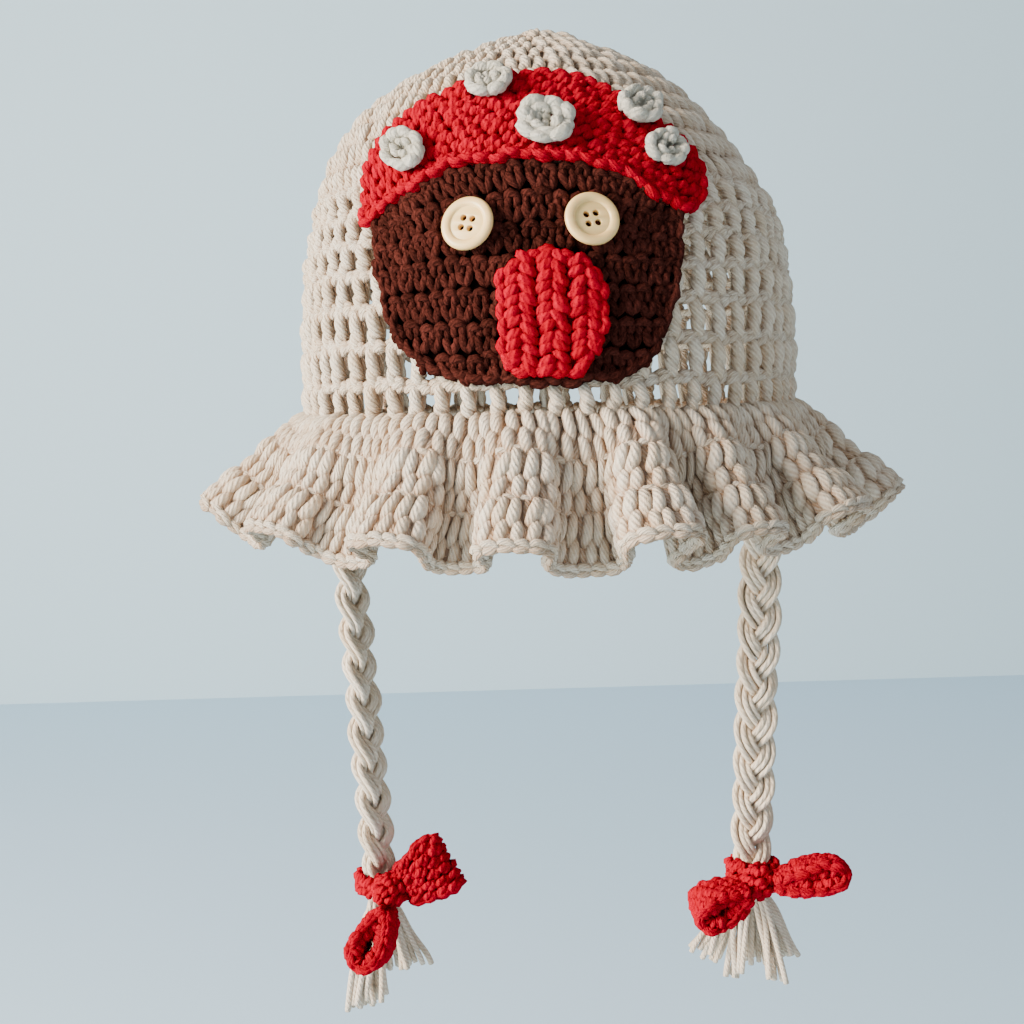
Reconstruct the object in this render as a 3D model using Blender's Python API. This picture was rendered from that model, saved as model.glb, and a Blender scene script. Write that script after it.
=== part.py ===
"""A child's crocheted bucket hat: a domed crown with a gathered brim, a toadstool house worked flat and sewn
to its front, and two hanging yarn plaits that end in a bow and a tassel.

Metres, +Z up. The front faces -Y and +X is the viewer's right. The origin is the inside of the crown's top,
where the hat sits on the head, so everything but the crown's top wall lies below it.
"""

import math

import bmesh
import bpy
import numpy as np
from mathutils import Matrix, Vector

# Clearance between pieces that touch
GAP = 0.0003

# Clearance under a piece that is sewn on a curved one, which leaves room for the flat facets of both
SEAT = 0.0006

# Crown, measured inside
HEAD_RADIUS = 0.083
CROWN_DEPTH = 0.1255
CROWN_WALL = 0.0045
PEAK_HEIGHT = 0.0045
PEAK_RADIUS = 0.014
SHOULDER_POWER = 3.3
SHOULDER_ROOT = 1.75
CROWN_LEAN = 0.0042

# Rounds of the crown: stitches in a round, and the gaps between the posts of the lowest rounds
STITCHES = 60
ROUND_HEIGHT = 0.0115
GAP_ROUNDS = 2
POST_GAP_WIDTH = 0.0038
POST_GAP_HEIGHT = 0.0082

# Gathered brim
BRIM_LENGTH = 0.046
BRIM_WALL = 0.004
BRIM_SLOPE_FRONT = math.radians(62)
BRIM_SLOPE_SIDE = math.radians(47)
BRIM_SLOPE_BACK = math.radians(50)
BRIM_ROOT_SLOPE = 0.55
FOLD_HEIGHT = 0.011
FOLD_START = 1.25

# Toadstool house on the front: its wall, cap, door, spots and buttons
HOUSE_SIDE = -0.009
HOUSE_FOOT = 0.0105
HOUSE_WIDTH = 0.097
HOUSE_HEIGHT = 0.0675
HOUSE_THICK = 0.0034
CAP_RISE = 0.035
CAP_THICK = 0.0042
CAP_SEAM = 0.0007
DOOR_WIDTH = 0.030
DOOR_HEIGHT = 0.038
DOOR_THICK = 0.0036
DOOR_SIDE = -0.0006
DOOR_FOOT = 0.012
SPOT_DIAMETER = 0.0178
SPOT_THICK = 0.0042
BUTTON_DIAMETER = 0.0168
BUTTON_THICK = 0.0028
BUTTON_RIM_WIDTH = 0.0024
BUTTON_RIM_HEIGHT = 0.0008
BUTTON_EDGE = 0.0007
BUTTON_HOLE_DIAMETER = 0.0018
BUTTON_HOLE_SPACING = 0.0027
BUTTON_SPACING = 0.035
BUTTON_SIDE = -0.0065
BUTTON_UP = 0.0575

# Plaited ties, their bows and their tassels
TIE_DIAMETER = 0.014
BOW_LENGTH = 0.058
BOW_BAND_WIDTH = 0.024
BOW_BAND_THICK = 0.0038
BOW_LOOP_HEIGHT = 0.019
BOW_KNOT_DIAMETER = 0.0125
BOW_BINDING_THICK = 0.003
BOW_BINDING_HEIGHT = 0.009
TASSEL_HEAD_DIAMETER = 0.0115
TASSEL_LENGTH = 0.050
LOCK_DIAMETER = 0.0058
LOCK_TAPER = 0.75
LOCK_ROOT = 0.45
LOCK_BEND = 0.7

# How much a bow's band narrows at the knot, how full its loops are, and how far they close there, as shares
BAND_PINCH = 0.6
LOOP_FULLNESS = 0.7
LOOP_PINCH = 0.12

# Folds round the brim: the angle of each crest from the front towards +X, in degrees, its height as a share
# of FOLD_HEIGHT, and how far its flanks stand over, as a share of the fold's own width
FOLDS = (
    # crest, height, overhang
    (-8, 0.75, 0.9),
    (16, 1.25, 1.25),
    (31, 0.75, 1.0),
    (50, 0.90, 1.1),
    (75, 0.75, 0.9),
    (101, 0.85, 0.8),
    (126, 1.00, 1.0),
    (151, 1.10, 1.0),
    (176, 0.95, 0.9),
    (202, 1.05, 1.0),
    (227, 1.10, 0.9),
    (252, 0.95, 0.8),
    (280, 0.85, 0.7),
    (308, 0.60, 0.6),
    (333, 0.85, 1.1),
)

# House wall from side to side: the station as a share of half HOUSE_WIDTH, and the lower and upper edge there
# as shares of HOUSE_HEIGHT
HOUSE = (
    # across, lower, upper
    (-1.00, 0.65, 0.75),
    (-0.97, 0.53, 0.765),
    (-0.92, 0.34, 0.79),
    (-0.82, 0.21, 0.83),
    (-0.64, 0.09, 0.90),
    (-0.38, 0.02, 0.97),
    (0.00, 0.00, 1.00),
    (0.32, 0.00, 0.985),
    (0.58, 0.02, 0.935),
    (0.73, 0.07, 0.86),
    (0.86, 0.20, 0.80),
    (0.95, 0.39, 0.77),
    (1.00, 0.61, 0.745),
)

# Toadstool cap from tip to tip: the station on the house's upper edge as a share of half HOUSE_WIDTH, the
# cap's breadth there and the sideways lean of its upper edge, both as shares of CAP_RISE
CAP = (
    # foot, rise, lean
    (-1.06, 0.08, -0.05),
    (-1.00, 0.26, -0.12),
    (-0.90, 0.43, -0.15),
    (-0.75, 0.55, -0.19),
    (-0.58, 0.67, -0.20),
    (-0.40, 0.75, -0.16),
    (-0.20, 0.88, -0.09),
    (0.00, 0.98, 0.00),
    (0.20, 0.99, 0.06),
    (0.40, 0.96, 0.10),
    (0.58, 0.89, 0.11),
    (0.75, 0.84, 0.13),
    (0.90, 0.74, 0.21),
    (0.99, 0.60, 0.30),
    (1.03, 0.38, 0.31),
    (1.06, 0.16, 0.18),
)

# Door from side to side, as the house's, in shares of half DOOR_WIDTH and of DOOR_HEIGHT
DOOR = (
    # across, lower, upper
    (-1.00, 0.14, 0.80),
    (-0.87, 0.05, 0.87),
    (-0.55, 0.01, 0.95),
    (-0.10, 0.00, 1.00),
    (0.50, 0.04, 0.93),
    (0.83, 0.20, 0.82),
    (1.00, 0.42, 0.68),
)

# Spots: the station on the cap, the place from its lower edge (0) to its upper edge (1), and the diameter as
# a share of SPOT_DIAMETER
SPOTS = (
    # foot, up, size
    (-0.60, 0.42, 0.88),
    (-0.07, 0.82, 0.84),
    (0.22, 0.31, 1.00),
    (0.76, 0.92, 0.85),
    (0.88, 0.58, 0.80),
)

# Outline of a spot from under its middle to its dimple, as shares of its radius and of SPOT_THICK
SPOT_SECTION = (
    # out, high
    (0.00, 0.00),
    (1.00, 0.00),
    (1.00, 0.55),
    (0.78, 1.00),
    (0.34, 0.86),
    (0.00, 0.62),
)

# Routes of the two plaited ties, from where each is sewn under the brim to its tassel, as points in metres
TIE_ROUTES = {
    "left": (
        (-0.0838, 0.0212, -0.1353),
        (-0.0811, 0.0206, -0.1400),
        (-0.0794, 0.0202, -0.1465),
        (-0.0785, 0.0200, -0.1550),
        (-0.0777, 0.0198, -0.1700),
        (-0.0764, 0.0194, -0.1920),
        (-0.0748, 0.0188, -0.2180),
        (-0.0731, 0.0182, -0.2440),
        (-0.0714, 0.0176, -0.2700),
        (-0.0700, 0.0172, -0.2920),
        (-0.0692, 0.0170, -0.3135),
    ),
    "right": (
        (0.0832, 0.0212, -0.1353),
        (0.0812, 0.0206, -0.1400),
        (0.0803, 0.0202, -0.1465),
        (0.0801, 0.0200, -0.1550),
        (0.0800, 0.0198, -0.1700),
        (0.0793, 0.0194, -0.1920),
        (0.0782, 0.0188, -0.2180),
        (0.0767, 0.0182, -0.2440),
        (0.0754, 0.0176, -0.2700),
        (0.0745, 0.0172, -0.2920),
        (0.0741, 0.0170, -0.3135),
    ),
}

# How far each bow sits round its tie from the front towards +X, in degrees
BOW_TURNS = {"left": 20, "right": 0}

# Loops of each bow: the heading of the loop in degrees up from +X towards +Z, its twist about that heading
# in degrees, and its length, height and band as shares of half BOW_LENGTH, of BOW_LOOP_HEIGHT and of
# BOW_BAND_WIDTH
BOWS = {
    "left": (
        # heading, twist, length, height, band
        (242, 22, 1.00, 1.05, 0.85),
        (24, 68, 0.90, 0.60, 1.10),
    ),
    "right": (
        (203, -20, 0.92, 1.05, 0.95),
        (10, -8, 1.12, 0.72, 0.95),
    ),
}

# Locks of a tassel: where each ends, aside and back from the head, and its length, in shares of TASSEL_LENGTH
LOCKS = {
    "left": (
        # aside, back, length
        (-0.22, 0.02, 0.96),
        (-0.12, 0.10, 1.00),
        (-0.03, 0.00, 0.92),
        (0.04, 0.12, 0.70),
        (0.12, 0.02, 0.64),
        (0.20, 0.10, 0.66),
    ),
    "right": (
        (-0.38, 0.04, 0.58),
        (-0.26, 0.12, 0.70),
        (-0.10, 0.00, 0.78),
        (0.02, 0.12, 0.74),
        (0.11, -0.02, 0.80),
        (0.27, 0.08, 0.66),
    ),
}

# How finely the solids are divided
CROWN_ROWS = 11
CROWN_CROWDING = 0.9
BRIM_COLUMNS = 120
BRIM_ROWS = 4
PROFILE_POINTS = 400
SPOT_SIDES = 12
BUTTON_SIDES = 20
HOLE_SIDES = 8
BINDING_SIDES = 16
LOOP_SIDES = 14
LOCK_SIDES = 6
DOOR_ROWS = 5
HOUSE_ROWS = 7
CAP_ROWS = 4
MERGE = 1e-6


def clear_scene():
    for item in list(bpy.data.objects):
        bpy.data.objects.remove(item, do_unlink=True)


def material(name, colour, roughness):
    """A plain finish of one colour for a piece."""
    finish = bpy.data.materials.new(name)
    finish.use_nodes = True
    shader = finish.node_tree.nodes["Principled BSDF"]
    shader.inputs["Base Color"].default_value = (*colour, 1)
    shader.inputs["Roughness"].default_value = roughness
    shader.inputs["Metallic"].default_value = 0
    return finish


def add_object(name, shape, finish):
    """Turns a bmesh into a named object of one finish, with its faces turned outwards."""
    bmesh.ops.recalc_face_normals(shape, faces=shape.faces)
    data = bpy.data.meshes.new(name)
    shape.to_mesh(data)
    shape.free()
    data.materials.append(finish)
    data.shade_smooth()
    data.set_sharp_from_angle(angle=math.radians(50))
    item = bpy.data.objects.new(name, data)
    bpy.context.scene.collection.objects.link(item)
    return item


def spun(section, steps, closed=False):
    """Spins an outline, given as radius and height, once round +Z. A closed outline makes a ring."""
    shape = bmesh.new()
    chain = [shape.verts.new((0, -out, up)) for out, up in section]
    following = chain[1:] + (chain[:1] if closed else [])
    edges = [shape.edges.new(pair) for pair in zip(chain, following, strict=False)]
    whole = {"axis": (0, 0, 1), "cent": (0, 0, 0), "angle": 2 * math.pi, "use_merge": True}
    bmesh.ops.spin(shape, geom=chain + edges, steps=steps, **whole)
    bmesh.ops.remove_doubles(shape, verts=shape.verts, dist=MERGE)
    return shape


def crown_profile():
    """The length along the crown's outside, and its radius, its height over the rim and its normal there."""
    share = 1 - (1 - np.linspace(0, 1, PROFILE_POINTS)) ** 2
    radius = HEAD_RADIUS * (1 - share**SHOULDER_POWER) ** (1 / SHOULDER_ROOT)
    height = CROWN_DEPTH * share + PEAK_HEIGHT * np.exp(-((radius / PEAK_RADIUS) ** 2))
    across, up = np.gradient(radius), np.gradient(height)
    length = np.hypot(across, up)
    normal_out, normal_up = up / length, -across / length
    normal_out[0], normal_up[0] = 1, 0
    normal_out[-1], normal_up[-1] = 0, 1
    radius, height = radius + CROWN_WALL * normal_out, height + CROWN_WALL * normal_up
    run = np.concatenate([[0], np.cumsum(np.hypot(np.diff(radius), np.diff(height)))])
    return run, radius, height, normal_out, normal_up


RUN, OUT_RADIUS, OUT_HEIGHT, NORMAL_OUT, NORMAL_UP = crown_profile()
CROWN_RUN = float(RUN[-1])
RIM_Z = -(CROWN_DEPTH + PEAK_HEIGHT)
WHOLE_HEIGHT = CROWN_DEPTH + PEAK_HEIGHT + CROWN_WALL


def direction(angle):
    """The level direction at an angle from the front towards +X."""
    return Vector((math.sin(angle), -math.cos(angle), 0))


def settled(point):
    """The crown's upper half leans a little to the viewer's left, and what is sewn to it leans with it."""
    share = (point.z - RIM_Z) / WHOLE_HEIGHT
    return point - Vector((CROWN_LEAN * math.sin(math.pi * min(max(2 * share - 1, 0), 1)), 0, 0))


def outside_radius(run):
    return float(np.interp(run, RUN, OUT_RADIUS))


def crown_normal(run, angle):
    out, up = (float(np.interp(run, RUN, part)) for part in (NORMAL_OUT, NORMAL_UP))
    return (direction(angle) * out + Vector((0, 0, up))).normalized()


def on_crown(run, angle, above=0.0):
    """A point at a length up the crown's outside from its lower edge, at an angle, and above that surface."""
    height = float(np.interp(run, RUN, OUT_HEIGHT))
    place = direction(angle) * outside_radius(run) + Vector((0, 0, RIM_Z + height))
    return settled(place + crown_normal(run, angle) * above)


def on_front(side, run, above):
    """A point of the sewn work: side is the length along the round from the middle of the front."""
    return on_crown(run, side / outside_radius(run), above)


def crown():
    """The dome, spun from the outline of its wall, with gaps between posts cut through its lowest rounds."""
    lower = [ROUND_HEIGHT * i for i in range(GAP_ROUNDS + 1)]
    steps = CROWN_ROWS - GAP_ROUNDS
    rest = CROWN_RUN - lower[-1]
    shares = [math.sin(math.pi / 2 * (i + 1) / steps) ** CROWN_CROWDING for i in range(steps)]
    outer, inner = [], []
    for run in lower + [lower[-1] + rest * share for share in shares]:
        radius, height = outside_radius(run), RIM_Z + float(np.interp(run, RUN, OUT_HEIGHT))
        out, up = (float(np.interp(run, RUN, part)) for part in (NORMAL_OUT, NORMAL_UP))
        outer.append((radius, height))
        inner.append((radius - CROWN_WALL * out, height - CROWN_WALL * up))
    outer[-1], inner[-1] = (0, outer[-1][1]), (0, inner[-1][1])
    shape = spun(outer[::-1] + inner, STITCHES)
    bmesh.ops.recalc_face_normals(shape, faces=shape.faces)
    cut_post_gaps(shape)
    for corner in shape.verts:
        corner.co = settled(corner.co)
    return add_object("crown", shape, material("ivory cotton yarn", (0.72, 0.62, 0.51), 0.9))


def cut_post_gaps(shape):
    """Cuts one upright gap between each two posts of the lowest rounds, through the wall."""
    middle = HEAD_RADIUS + CROWN_WALL / 2
    cells = {}
    for face in shape.faces:
        centre = face.calc_center_median()
        row = math.floor((centre.z - RIM_Z) / ROUND_HEIGHT)
        if 0 <= row < GAP_ROUNDS and abs(face.normal.z) < 0.5:
            column = round(math.degrees(math.atan2(centre.x, -centre.y)) * STITCHES / 360 - 0.5)
            cells.setdefault((row, column), []).append((math.hypot(centre.x, centre.y) > middle, face))
    faces = [face for cell in cells.values() for _, face in cell]
    bmesh.ops.inset_individual(shape, faces=faces, thickness=POST_GAP_WIDTH / 4, use_even_offset=True)
    for (row, column), cell in cells.items():
        angle = (column + 0.5) * 2 * math.pi / STITCHES
        height = (row + 0.5) * ROUND_HEIGHT
        edges = []
        for outside, face in cell:
            for corner in face.verts:
                turn = math.atan2(corner.co.x, -corner.co.y) - angle
                turn = math.remainder(turn, 2 * math.pi)
                at = height + math.copysign(POST_GAP_HEIGHT / 2, corner.co.z - RIM_Z - height)
                radius = outside_radius(at) - (0 if outside else CROWN_WALL)
                turned = angle + math.copysign(POST_GAP_WIDTH / 2, turn) / radius
                corner.co = direction(turned) * radius + Vector((0, 0, RIM_Z + at))
            edges += face.edges
        bmesh.ops.delete(shape, geom=[face for _, face in cell], context="FACES_ONLY")
        bmesh.ops.bridge_loops(shape, edges=edges)


def fold_at(angle):
    """The brim's lift at an angle, as a share of FOLD_HEIGHT, and its sideways shift, in radians."""
    crests = [math.radians(row[0]) for row in FOLDS]
    turn = crests[0] + (angle - crests[0]) % (2 * math.pi)
    crests.append(crests[0] + 2 * math.pi)
    number = max(i for i in range(len(FOLDS)) if crests[i] <= turn)
    width = crests[number + 1] - crests[number]
    phase = (turn - crests[number]) / width
    blend = (1 - math.cos(math.pi * phase)) / 2
    here, following = FOLDS[number], FOLDS[(number + 1) % len(FOLDS)]
    height = here[1] + (following[1] - here[1]) * blend
    overhang = here[2] + (following[2] - here[2]) * blend
    lift = height * math.cos(2 * math.pi * phase)
    shift = overhang * width / (4 * math.pi) * math.sin(4 * math.pi * phase)
    return lift, shift


def brim_slope(angle):
    """How steeply the brim falls: close to the face at the front, and wider at the sides."""
    facing = math.cos(angle)
    far = BRIM_SLOPE_FRONT if facing > 0 else BRIM_SLOPE_BACK
    return BRIM_SLOPE_SIDE + (far - BRIM_SLOPE_SIDE) * facing**2


def brim_middle(share, angle):
    """A point of the brim's middle surface, at a share of its length from the crown's lower edge."""
    lift, shift = fold_at(angle)
    slope = brim_slope(angle) * min(1, BRIM_ROOT_SLOPE + share)
    grow = share**FOLD_START
    turned = angle + shift * grow
    out, up = math.cos(slope) * BRIM_LENGTH * share, -math.sin(slope) * BRIM_LENGTH * share
    out += math.sin(slope) * lift * FOLD_HEIGHT * grow
    up += math.cos(slope) * lift * FOLD_HEIGHT * grow
    start = HEAD_RADIUS + CROWN_WALL / 2
    return direction(turned) * (start + out) + Vector((0, 0, RIM_Z - GAP + up))


def brim_point(share, angle, side):
    """A point on one face of the brim: side is 1 on its upper face and -1 on its under face."""
    if share < 1e-6:
        return brim_middle(0, angle) + direction(angle) * side * BRIM_WALL / 2
    step = 1e-3
    along = brim_middle(share, angle) - brim_middle(share - step, angle)
    round_it = brim_middle(share, angle + step) - brim_middle(share, angle - step)
    return brim_middle(share, angle) + along.cross(round_it).normalized() * side * BRIM_WALL / 2


def brim():
    """The gathered brim: a flat ring is spun in shares, then each corner is laid on the folded surface."""
    shares = [i / BRIM_ROWS for i in range(BRIM_ROWS + 1)]
    upper, under = ([(1 + share, side) for share in shares] for side in (1, -1))
    shape = spun(upper + under[::-1], BRIM_COLUMNS, closed=True)
    for corner in shape.verts:
        place = corner.co.copy()
        share = math.hypot(place.x, place.y) - 1
        corner.co = brim_point(share, math.atan2(place.x, -place.y), 1 if place.z > 0 else -1)
    return add_object("brim", shape, material("ivory cotton yarn, gathered", (0.72, 0.62, 0.51), 0.9))


def table_value(table, at, column):
    """A column of a table, read between its rows along its first column and carried on past its ends."""
    stations = [row[0] for row in table]
    values = [row[column] for row in table]
    if at < stations[0]:
        return values[0] + (values[1] - values[0]) * (at - stations[0]) / (stations[1] - stations[0])
    if at > stations[-1]:
        return values[-1] + (values[-1] - values[-2]) * (at - stations[-1]) / (stations[-1] - stations[-2])
    return float(np.interp(at, stations, values))


def patch(name, table, rows, thick, place, finish):
    """A flat worked piece laid on the crown: a divided sheet with a thickness, put corner by corner."""
    shape = bmesh.new()
    bmesh.ops.create_grid(shape, x_segments=len(table) - 1, y_segments=rows, size=0.5)
    made = bmesh.ops.extrude_face_region(shape, geom=list(shape.faces))["geom"]
    for corner in made:
        if isinstance(corner, bmesh.types.BMVert):
            corner.co.z = thick
    for corner in shape.verts:
        corner.co = place(corner.co.x + 0.5, corner.co.y + 0.5, corner.co.z)
    return add_object(name, shape, finish)


def across_stations(table, share):
    """A station of a table at a share of the way from its first row to its last, counted in rows."""
    at = share * (len(table) - 1)
    return float(np.interp(at, range(len(table)), [row[0] for row in table]))


def house_point(along, up, above):
    station = across_stations(HOUSE, along)
    low, high = (HOUSE_HEIGHT * table_value(HOUSE, station, column) for column in (1, 2))
    side = HOUSE_SIDE + station * HOUSE_WIDTH / 2
    return on_front(side, HOUSE_FOOT + low + (high - low) * up, SEAT + above)


def cap_place(station, up):
    """Where a point of the cap lies; the cap's lower edge follows the house's upper edge at the clearance."""
    rise, lean = (CAP_RISE * table_value(CAP, station, column) for column in (1, 2))
    foot = HOUSE_FOOT + HOUSE_HEIGHT * table_value(HOUSE, station, 2) + CAP_SEAM
    return HOUSE_SIDE + station * HOUSE_WIDTH / 2 + lean * up, foot + rise * up


def cap_point(along, up, above):
    side, run = cap_place(across_stations(CAP, along), up)
    return on_front(side, run, SEAT + above)


def door_point(along, up, above):
    station = across_stations(DOOR, along)
    low, high = (DOOR_HEIGHT * table_value(DOOR, station, column) for column in (1, 2))
    side = DOOR_SIDE + station * DOOR_WIDTH / 2
    return on_front(side, DOOR_FOOT + low + (high - low) * up, 2 * SEAT + HOUSE_THICK + above)


def spot(number, station, up, size):
    """A small round coil of crochet, dimpled in its middle, sewn on the cap."""
    radius = SPOT_DIAMETER * size / 2
    shape = spun([(radius * out, SPOT_THICK * high) for out, high in SPOT_SECTION], SPOT_SIDES)
    side, run = cap_place(station, up)
    for corner in shape.verts:
        corner.co = on_front(side + corner.co.x, run + corner.co.y, 2 * SEAT + CAP_THICK + corner.co.z)
    return add_object(f"spot_{number}", shape, material(f"pale grey yarn {number}", (0.60, 0.57, 0.50), 0.9))


def button(name, side):
    """A turned four-hole button with a raised rim, lying on the house wall."""
    outer, inner = BUTTON_DIAMETER / 2, BUTTON_DIAMETER / 2 - BUTTON_RIM_WIDTH
    dish = BUTTON_THICK - BUTTON_RIM_HEIGHT
    section = (
        (0, 0),
        (outer - BUTTON_EDGE, 0),
        (outer, BUTTON_EDGE),
        (outer, BUTTON_THICK - BUTTON_EDGE),
        (outer - BUTTON_EDGE, BUTTON_THICK),
        (inner + BUTTON_EDGE / 2, BUTTON_THICK),
        (inner - BUTTON_EDGE / 2, dish),
        (0, dish),
    )
    shape = spun(section, BUTTON_SIDES)
    holes = bmesh.new()
    for across, up in ((-1, -1), (-1, 1), (1, -1), (1, 1)):
        middle = Vector((across, up, 0)) * BUTTON_HOLE_SPACING / 2
        bmesh.ops.create_cone(
            holes,
            cap_ends=True,
            segments=HOLE_SIDES,
            radius1=BUTTON_HOLE_DIAMETER / 2,
            radius2=BUTTON_HOLE_DIAMETER / 2,
            depth=4 * BUTTON_THICK,
            matrix=Matrix.Translation(middle),
        )
    above = HOUSE_THICK + SEAT + GAP
    angle = side / outside_radius(BUTTON_UP)
    facing = crown_normal(BUTTON_UP, angle)
    level = direction(angle + math.pi / 2)
    place = Matrix((level, facing.cross(level), facing)).transposed().to_4x4()
    place.translation = on_crown(BUTTON_UP, angle, above)
    finish = material("cream button " + name, (0.83, 0.69, 0.46), 0.35)
    item = add_object(name, shape, finish)
    cutter = add_object(name + "_holes", holes, finish)
    cutter.hide_render, cutter.display_type = True, "WIRE"
    item.matrix_world = cutter.matrix_world = place
    cut = item.modifiers.new("holes", "BOOLEAN")
    cut.operation, cut.solver, cut.object = "DIFFERENCE", "EXACT", cutter
    return item


def tie(side):
    """A plaited tie as a plain round tube along its route."""
    curve = bpy.data.curves.new("tie_" + side, "CURVE")
    curve.dimensions = "3D"
    curve.bevel_depth, curve.bevel_resolution, curve.use_fill_caps = TIE_DIAMETER / 2, 2, True
    route = TIE_ROUTES[side]
    spline = curve.splines.new("POLY")
    spline.points.add(len(route) - 1)
    for point, place in zip(spline.points, route, strict=True):
        point.co = (*place, 1)
    curve.materials.append(material("ivory plait " + side, (0.72, 0.62, 0.51), 0.9))
    item = bpy.data.objects.new("tie_" + side, curve)
    bpy.context.scene.collection.objects.link(item)
    return item


def bow_loop(length, height, band):
    """One loop of a bow along +X: a band on edge, spun as a ring and drawn out to a drop shape."""
    shape = spun(((1, 1), (1, -1), (2, -1), (2, 1)), LOOP_SIDES, closed=True)
    start = BOW_KNOT_DIAMETER / 4
    for corner in shape.verts:
        turn = math.atan2(corner.co.x, -corner.co.y)
        wall = BOW_BAND_THICK if corner.co.xy.length < 1.5 else 0
        out = (1 - math.cos(turn)) / 2
        half = height / 2 * abs(math.sin(turn / 2)) ** LOOP_FULLNESS
        corner.co = (
            start + wall + (length - start - 2 * wall) * out,
            corner.co.z * band / 2 * (BAND_PINCH + (1 - BAND_PINCH) * out),
            math.sin(turn) * max(half - wall, half * LOOP_PINCH),
        )
    return shape


def joined(name, shapes, finish):
    """Fuses closed shapes into one body by Boolean unions."""
    first = add_object(name, shapes[0], finish)
    for number, shape in enumerate(shapes[1:]):
        other = add_object(f"{name}_part_{number}", shape, finish)
        other.hide_render, other.display_type = True, "WIRE"
        join = first.modifiers.new(f"join {number}", "BOOLEAN")
        join.operation, join.solver, join.object = "UNION", "EXACT", other
    return first


def turned(shape, degrees, axis):
    bmesh.ops.transform(shape, matrix=Matrix.Rotation(math.radians(degrees), 4, axis), verts=shape.verts)


def bow(side):
    """A bow of one looped band on the front of the tie's end, with its binding round the tie."""
    clear = TIE_DIAMETER / 2 + 2 * GAP
    outer, half = clear + BOW_BINDING_THICK, BOW_BINDING_HEIGHT / 2
    section = ((clear, -half), (outer, -half), (outer, half), (clear, half))
    shapes = [spun(section, BINDING_SIDES, closed=True)]
    knot = bmesh.new()
    bmesh.ops.create_icosphere(knot, subdivisions=2, radius=BOW_KNOT_DIAMETER / 2)
    bmesh.ops.translate(knot, vec=(0, -clear - BOW_KNOT_DIAMETER / 2, 0), verts=knot.verts)
    shapes.append(knot)
    for heading, twist, length, height, band in BOWS[side]:
        shape = bow_loop(BOW_LENGTH / 2 * length, BOW_LOOP_HEIGHT * height, BOW_BAND_WIDTH * band)
        turned(shape, twist, "X")
        turned(shape, -heading, "Y")
        rear = max(corner.co.y for corner in shape.verts)
        bmesh.ops.translate(shape, vec=(0, -clear - rear, 0), verts=shape.verts)
        shapes.append(shape)
    for shape in shapes:
        turned(shape, BOW_TURNS[side], "Z")
        bmesh.ops.translate(shape, vec=bow_centre(side), verts=shape.verts)
    return joined("bow_" + side, shapes, material("red yarn bow " + side, (0.62, 0.01, 0.02), 0.85))


def bow_centre(side):
    """The middle of the binding, round the last stretch of the tie."""
    above, end = (Vector(place) for place in TIE_ROUTES[side][-2:])
    return end + (above - end).normalized() * BOW_BINDING_HEIGHT / 2


def tassel(side):
    """A tassel of loose yarn as a few thick locks under a round head."""
    radius = TASSEL_HEAD_DIAMETER / 2
    centre = Vector(TIE_ROUTES[side][-1]) - Vector((0, 0, radius + GAP))
    head = bmesh.new()
    bmesh.ops.create_uvsphere(head, u_segments=10, v_segments=6, radius=radius)
    bmesh.ops.translate(head, vec=centre, verts=head.verts)
    shapes = [head]
    for aside, back, length in LOCKS[side]:
        lean = Vector((aside, back, 0)) * TASSEL_LENGTH
        start = centre + lean.normalized() * LOCK_ROOT * radius
        drop = TASSEL_LENGTH * length - radius
        shape = bmesh.new()
        bmesh.ops.create_cone(
            shape,
            cap_ends=True,
            segments=LOCK_SIDES,
            radius1=LOCK_DIAMETER / 2 * LOCK_TAPER,
            radius2=LOCK_DIAMETER / 2,
            depth=1,
        )
        whole = list(shape.verts) + list(shape.edges) + list(shape.faces)
        bmesh.ops.bisect_plane(shape, geom=whole, plane_co=(0, 0, 0), plane_no=(0, 0, 1))
        for corner in shape.verts:
            down = 0.5 - corner.co.z
            across = Vector((corner.co.x, corner.co.y, -drop * down))
            corner.co = start + across + lean * down**LOCK_BEND
        shapes.append(shape)
    return joined("tassel_" + side, shapes, material("ivory yarn ends " + side, (0.74, 0.67, 0.57), 0.9))


def build():
    clear_scene()
    crown()
    brim()
    brown = material("brown yarn", (0.075, 0.022, 0.010), 0.9)
    red = material("red yarn", (0.66, 0.012, 0.02), 0.85)
    door_red = material("red door yarn", (0.66, 0.012, 0.02), 0.85)
    patch("house_wall", HOUSE, HOUSE_ROWS, HOUSE_THICK, house_point, brown)
    patch("toadstool_cap", CAP, CAP_ROWS, CAP_THICK, cap_point, red)
    patch("door", DOOR, DOOR_ROWS, DOOR_THICK, door_point, door_red)
    for number, (station, up, size) in enumerate(SPOTS, 1):
        spot(number, station, up, size)
    for name, way in (("button_left", -1), ("button_right", 1)):
        button(name, BUTTON_SIDE + way * BUTTON_SPACING / 2)
    for side in TIE_ROUTES:
        tie(side)
        bow(side)
        tassel(side)


build()
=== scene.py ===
import math

import bmesh
import bpy
import numpy as np
from mathutils import Matrix, Vector


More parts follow.
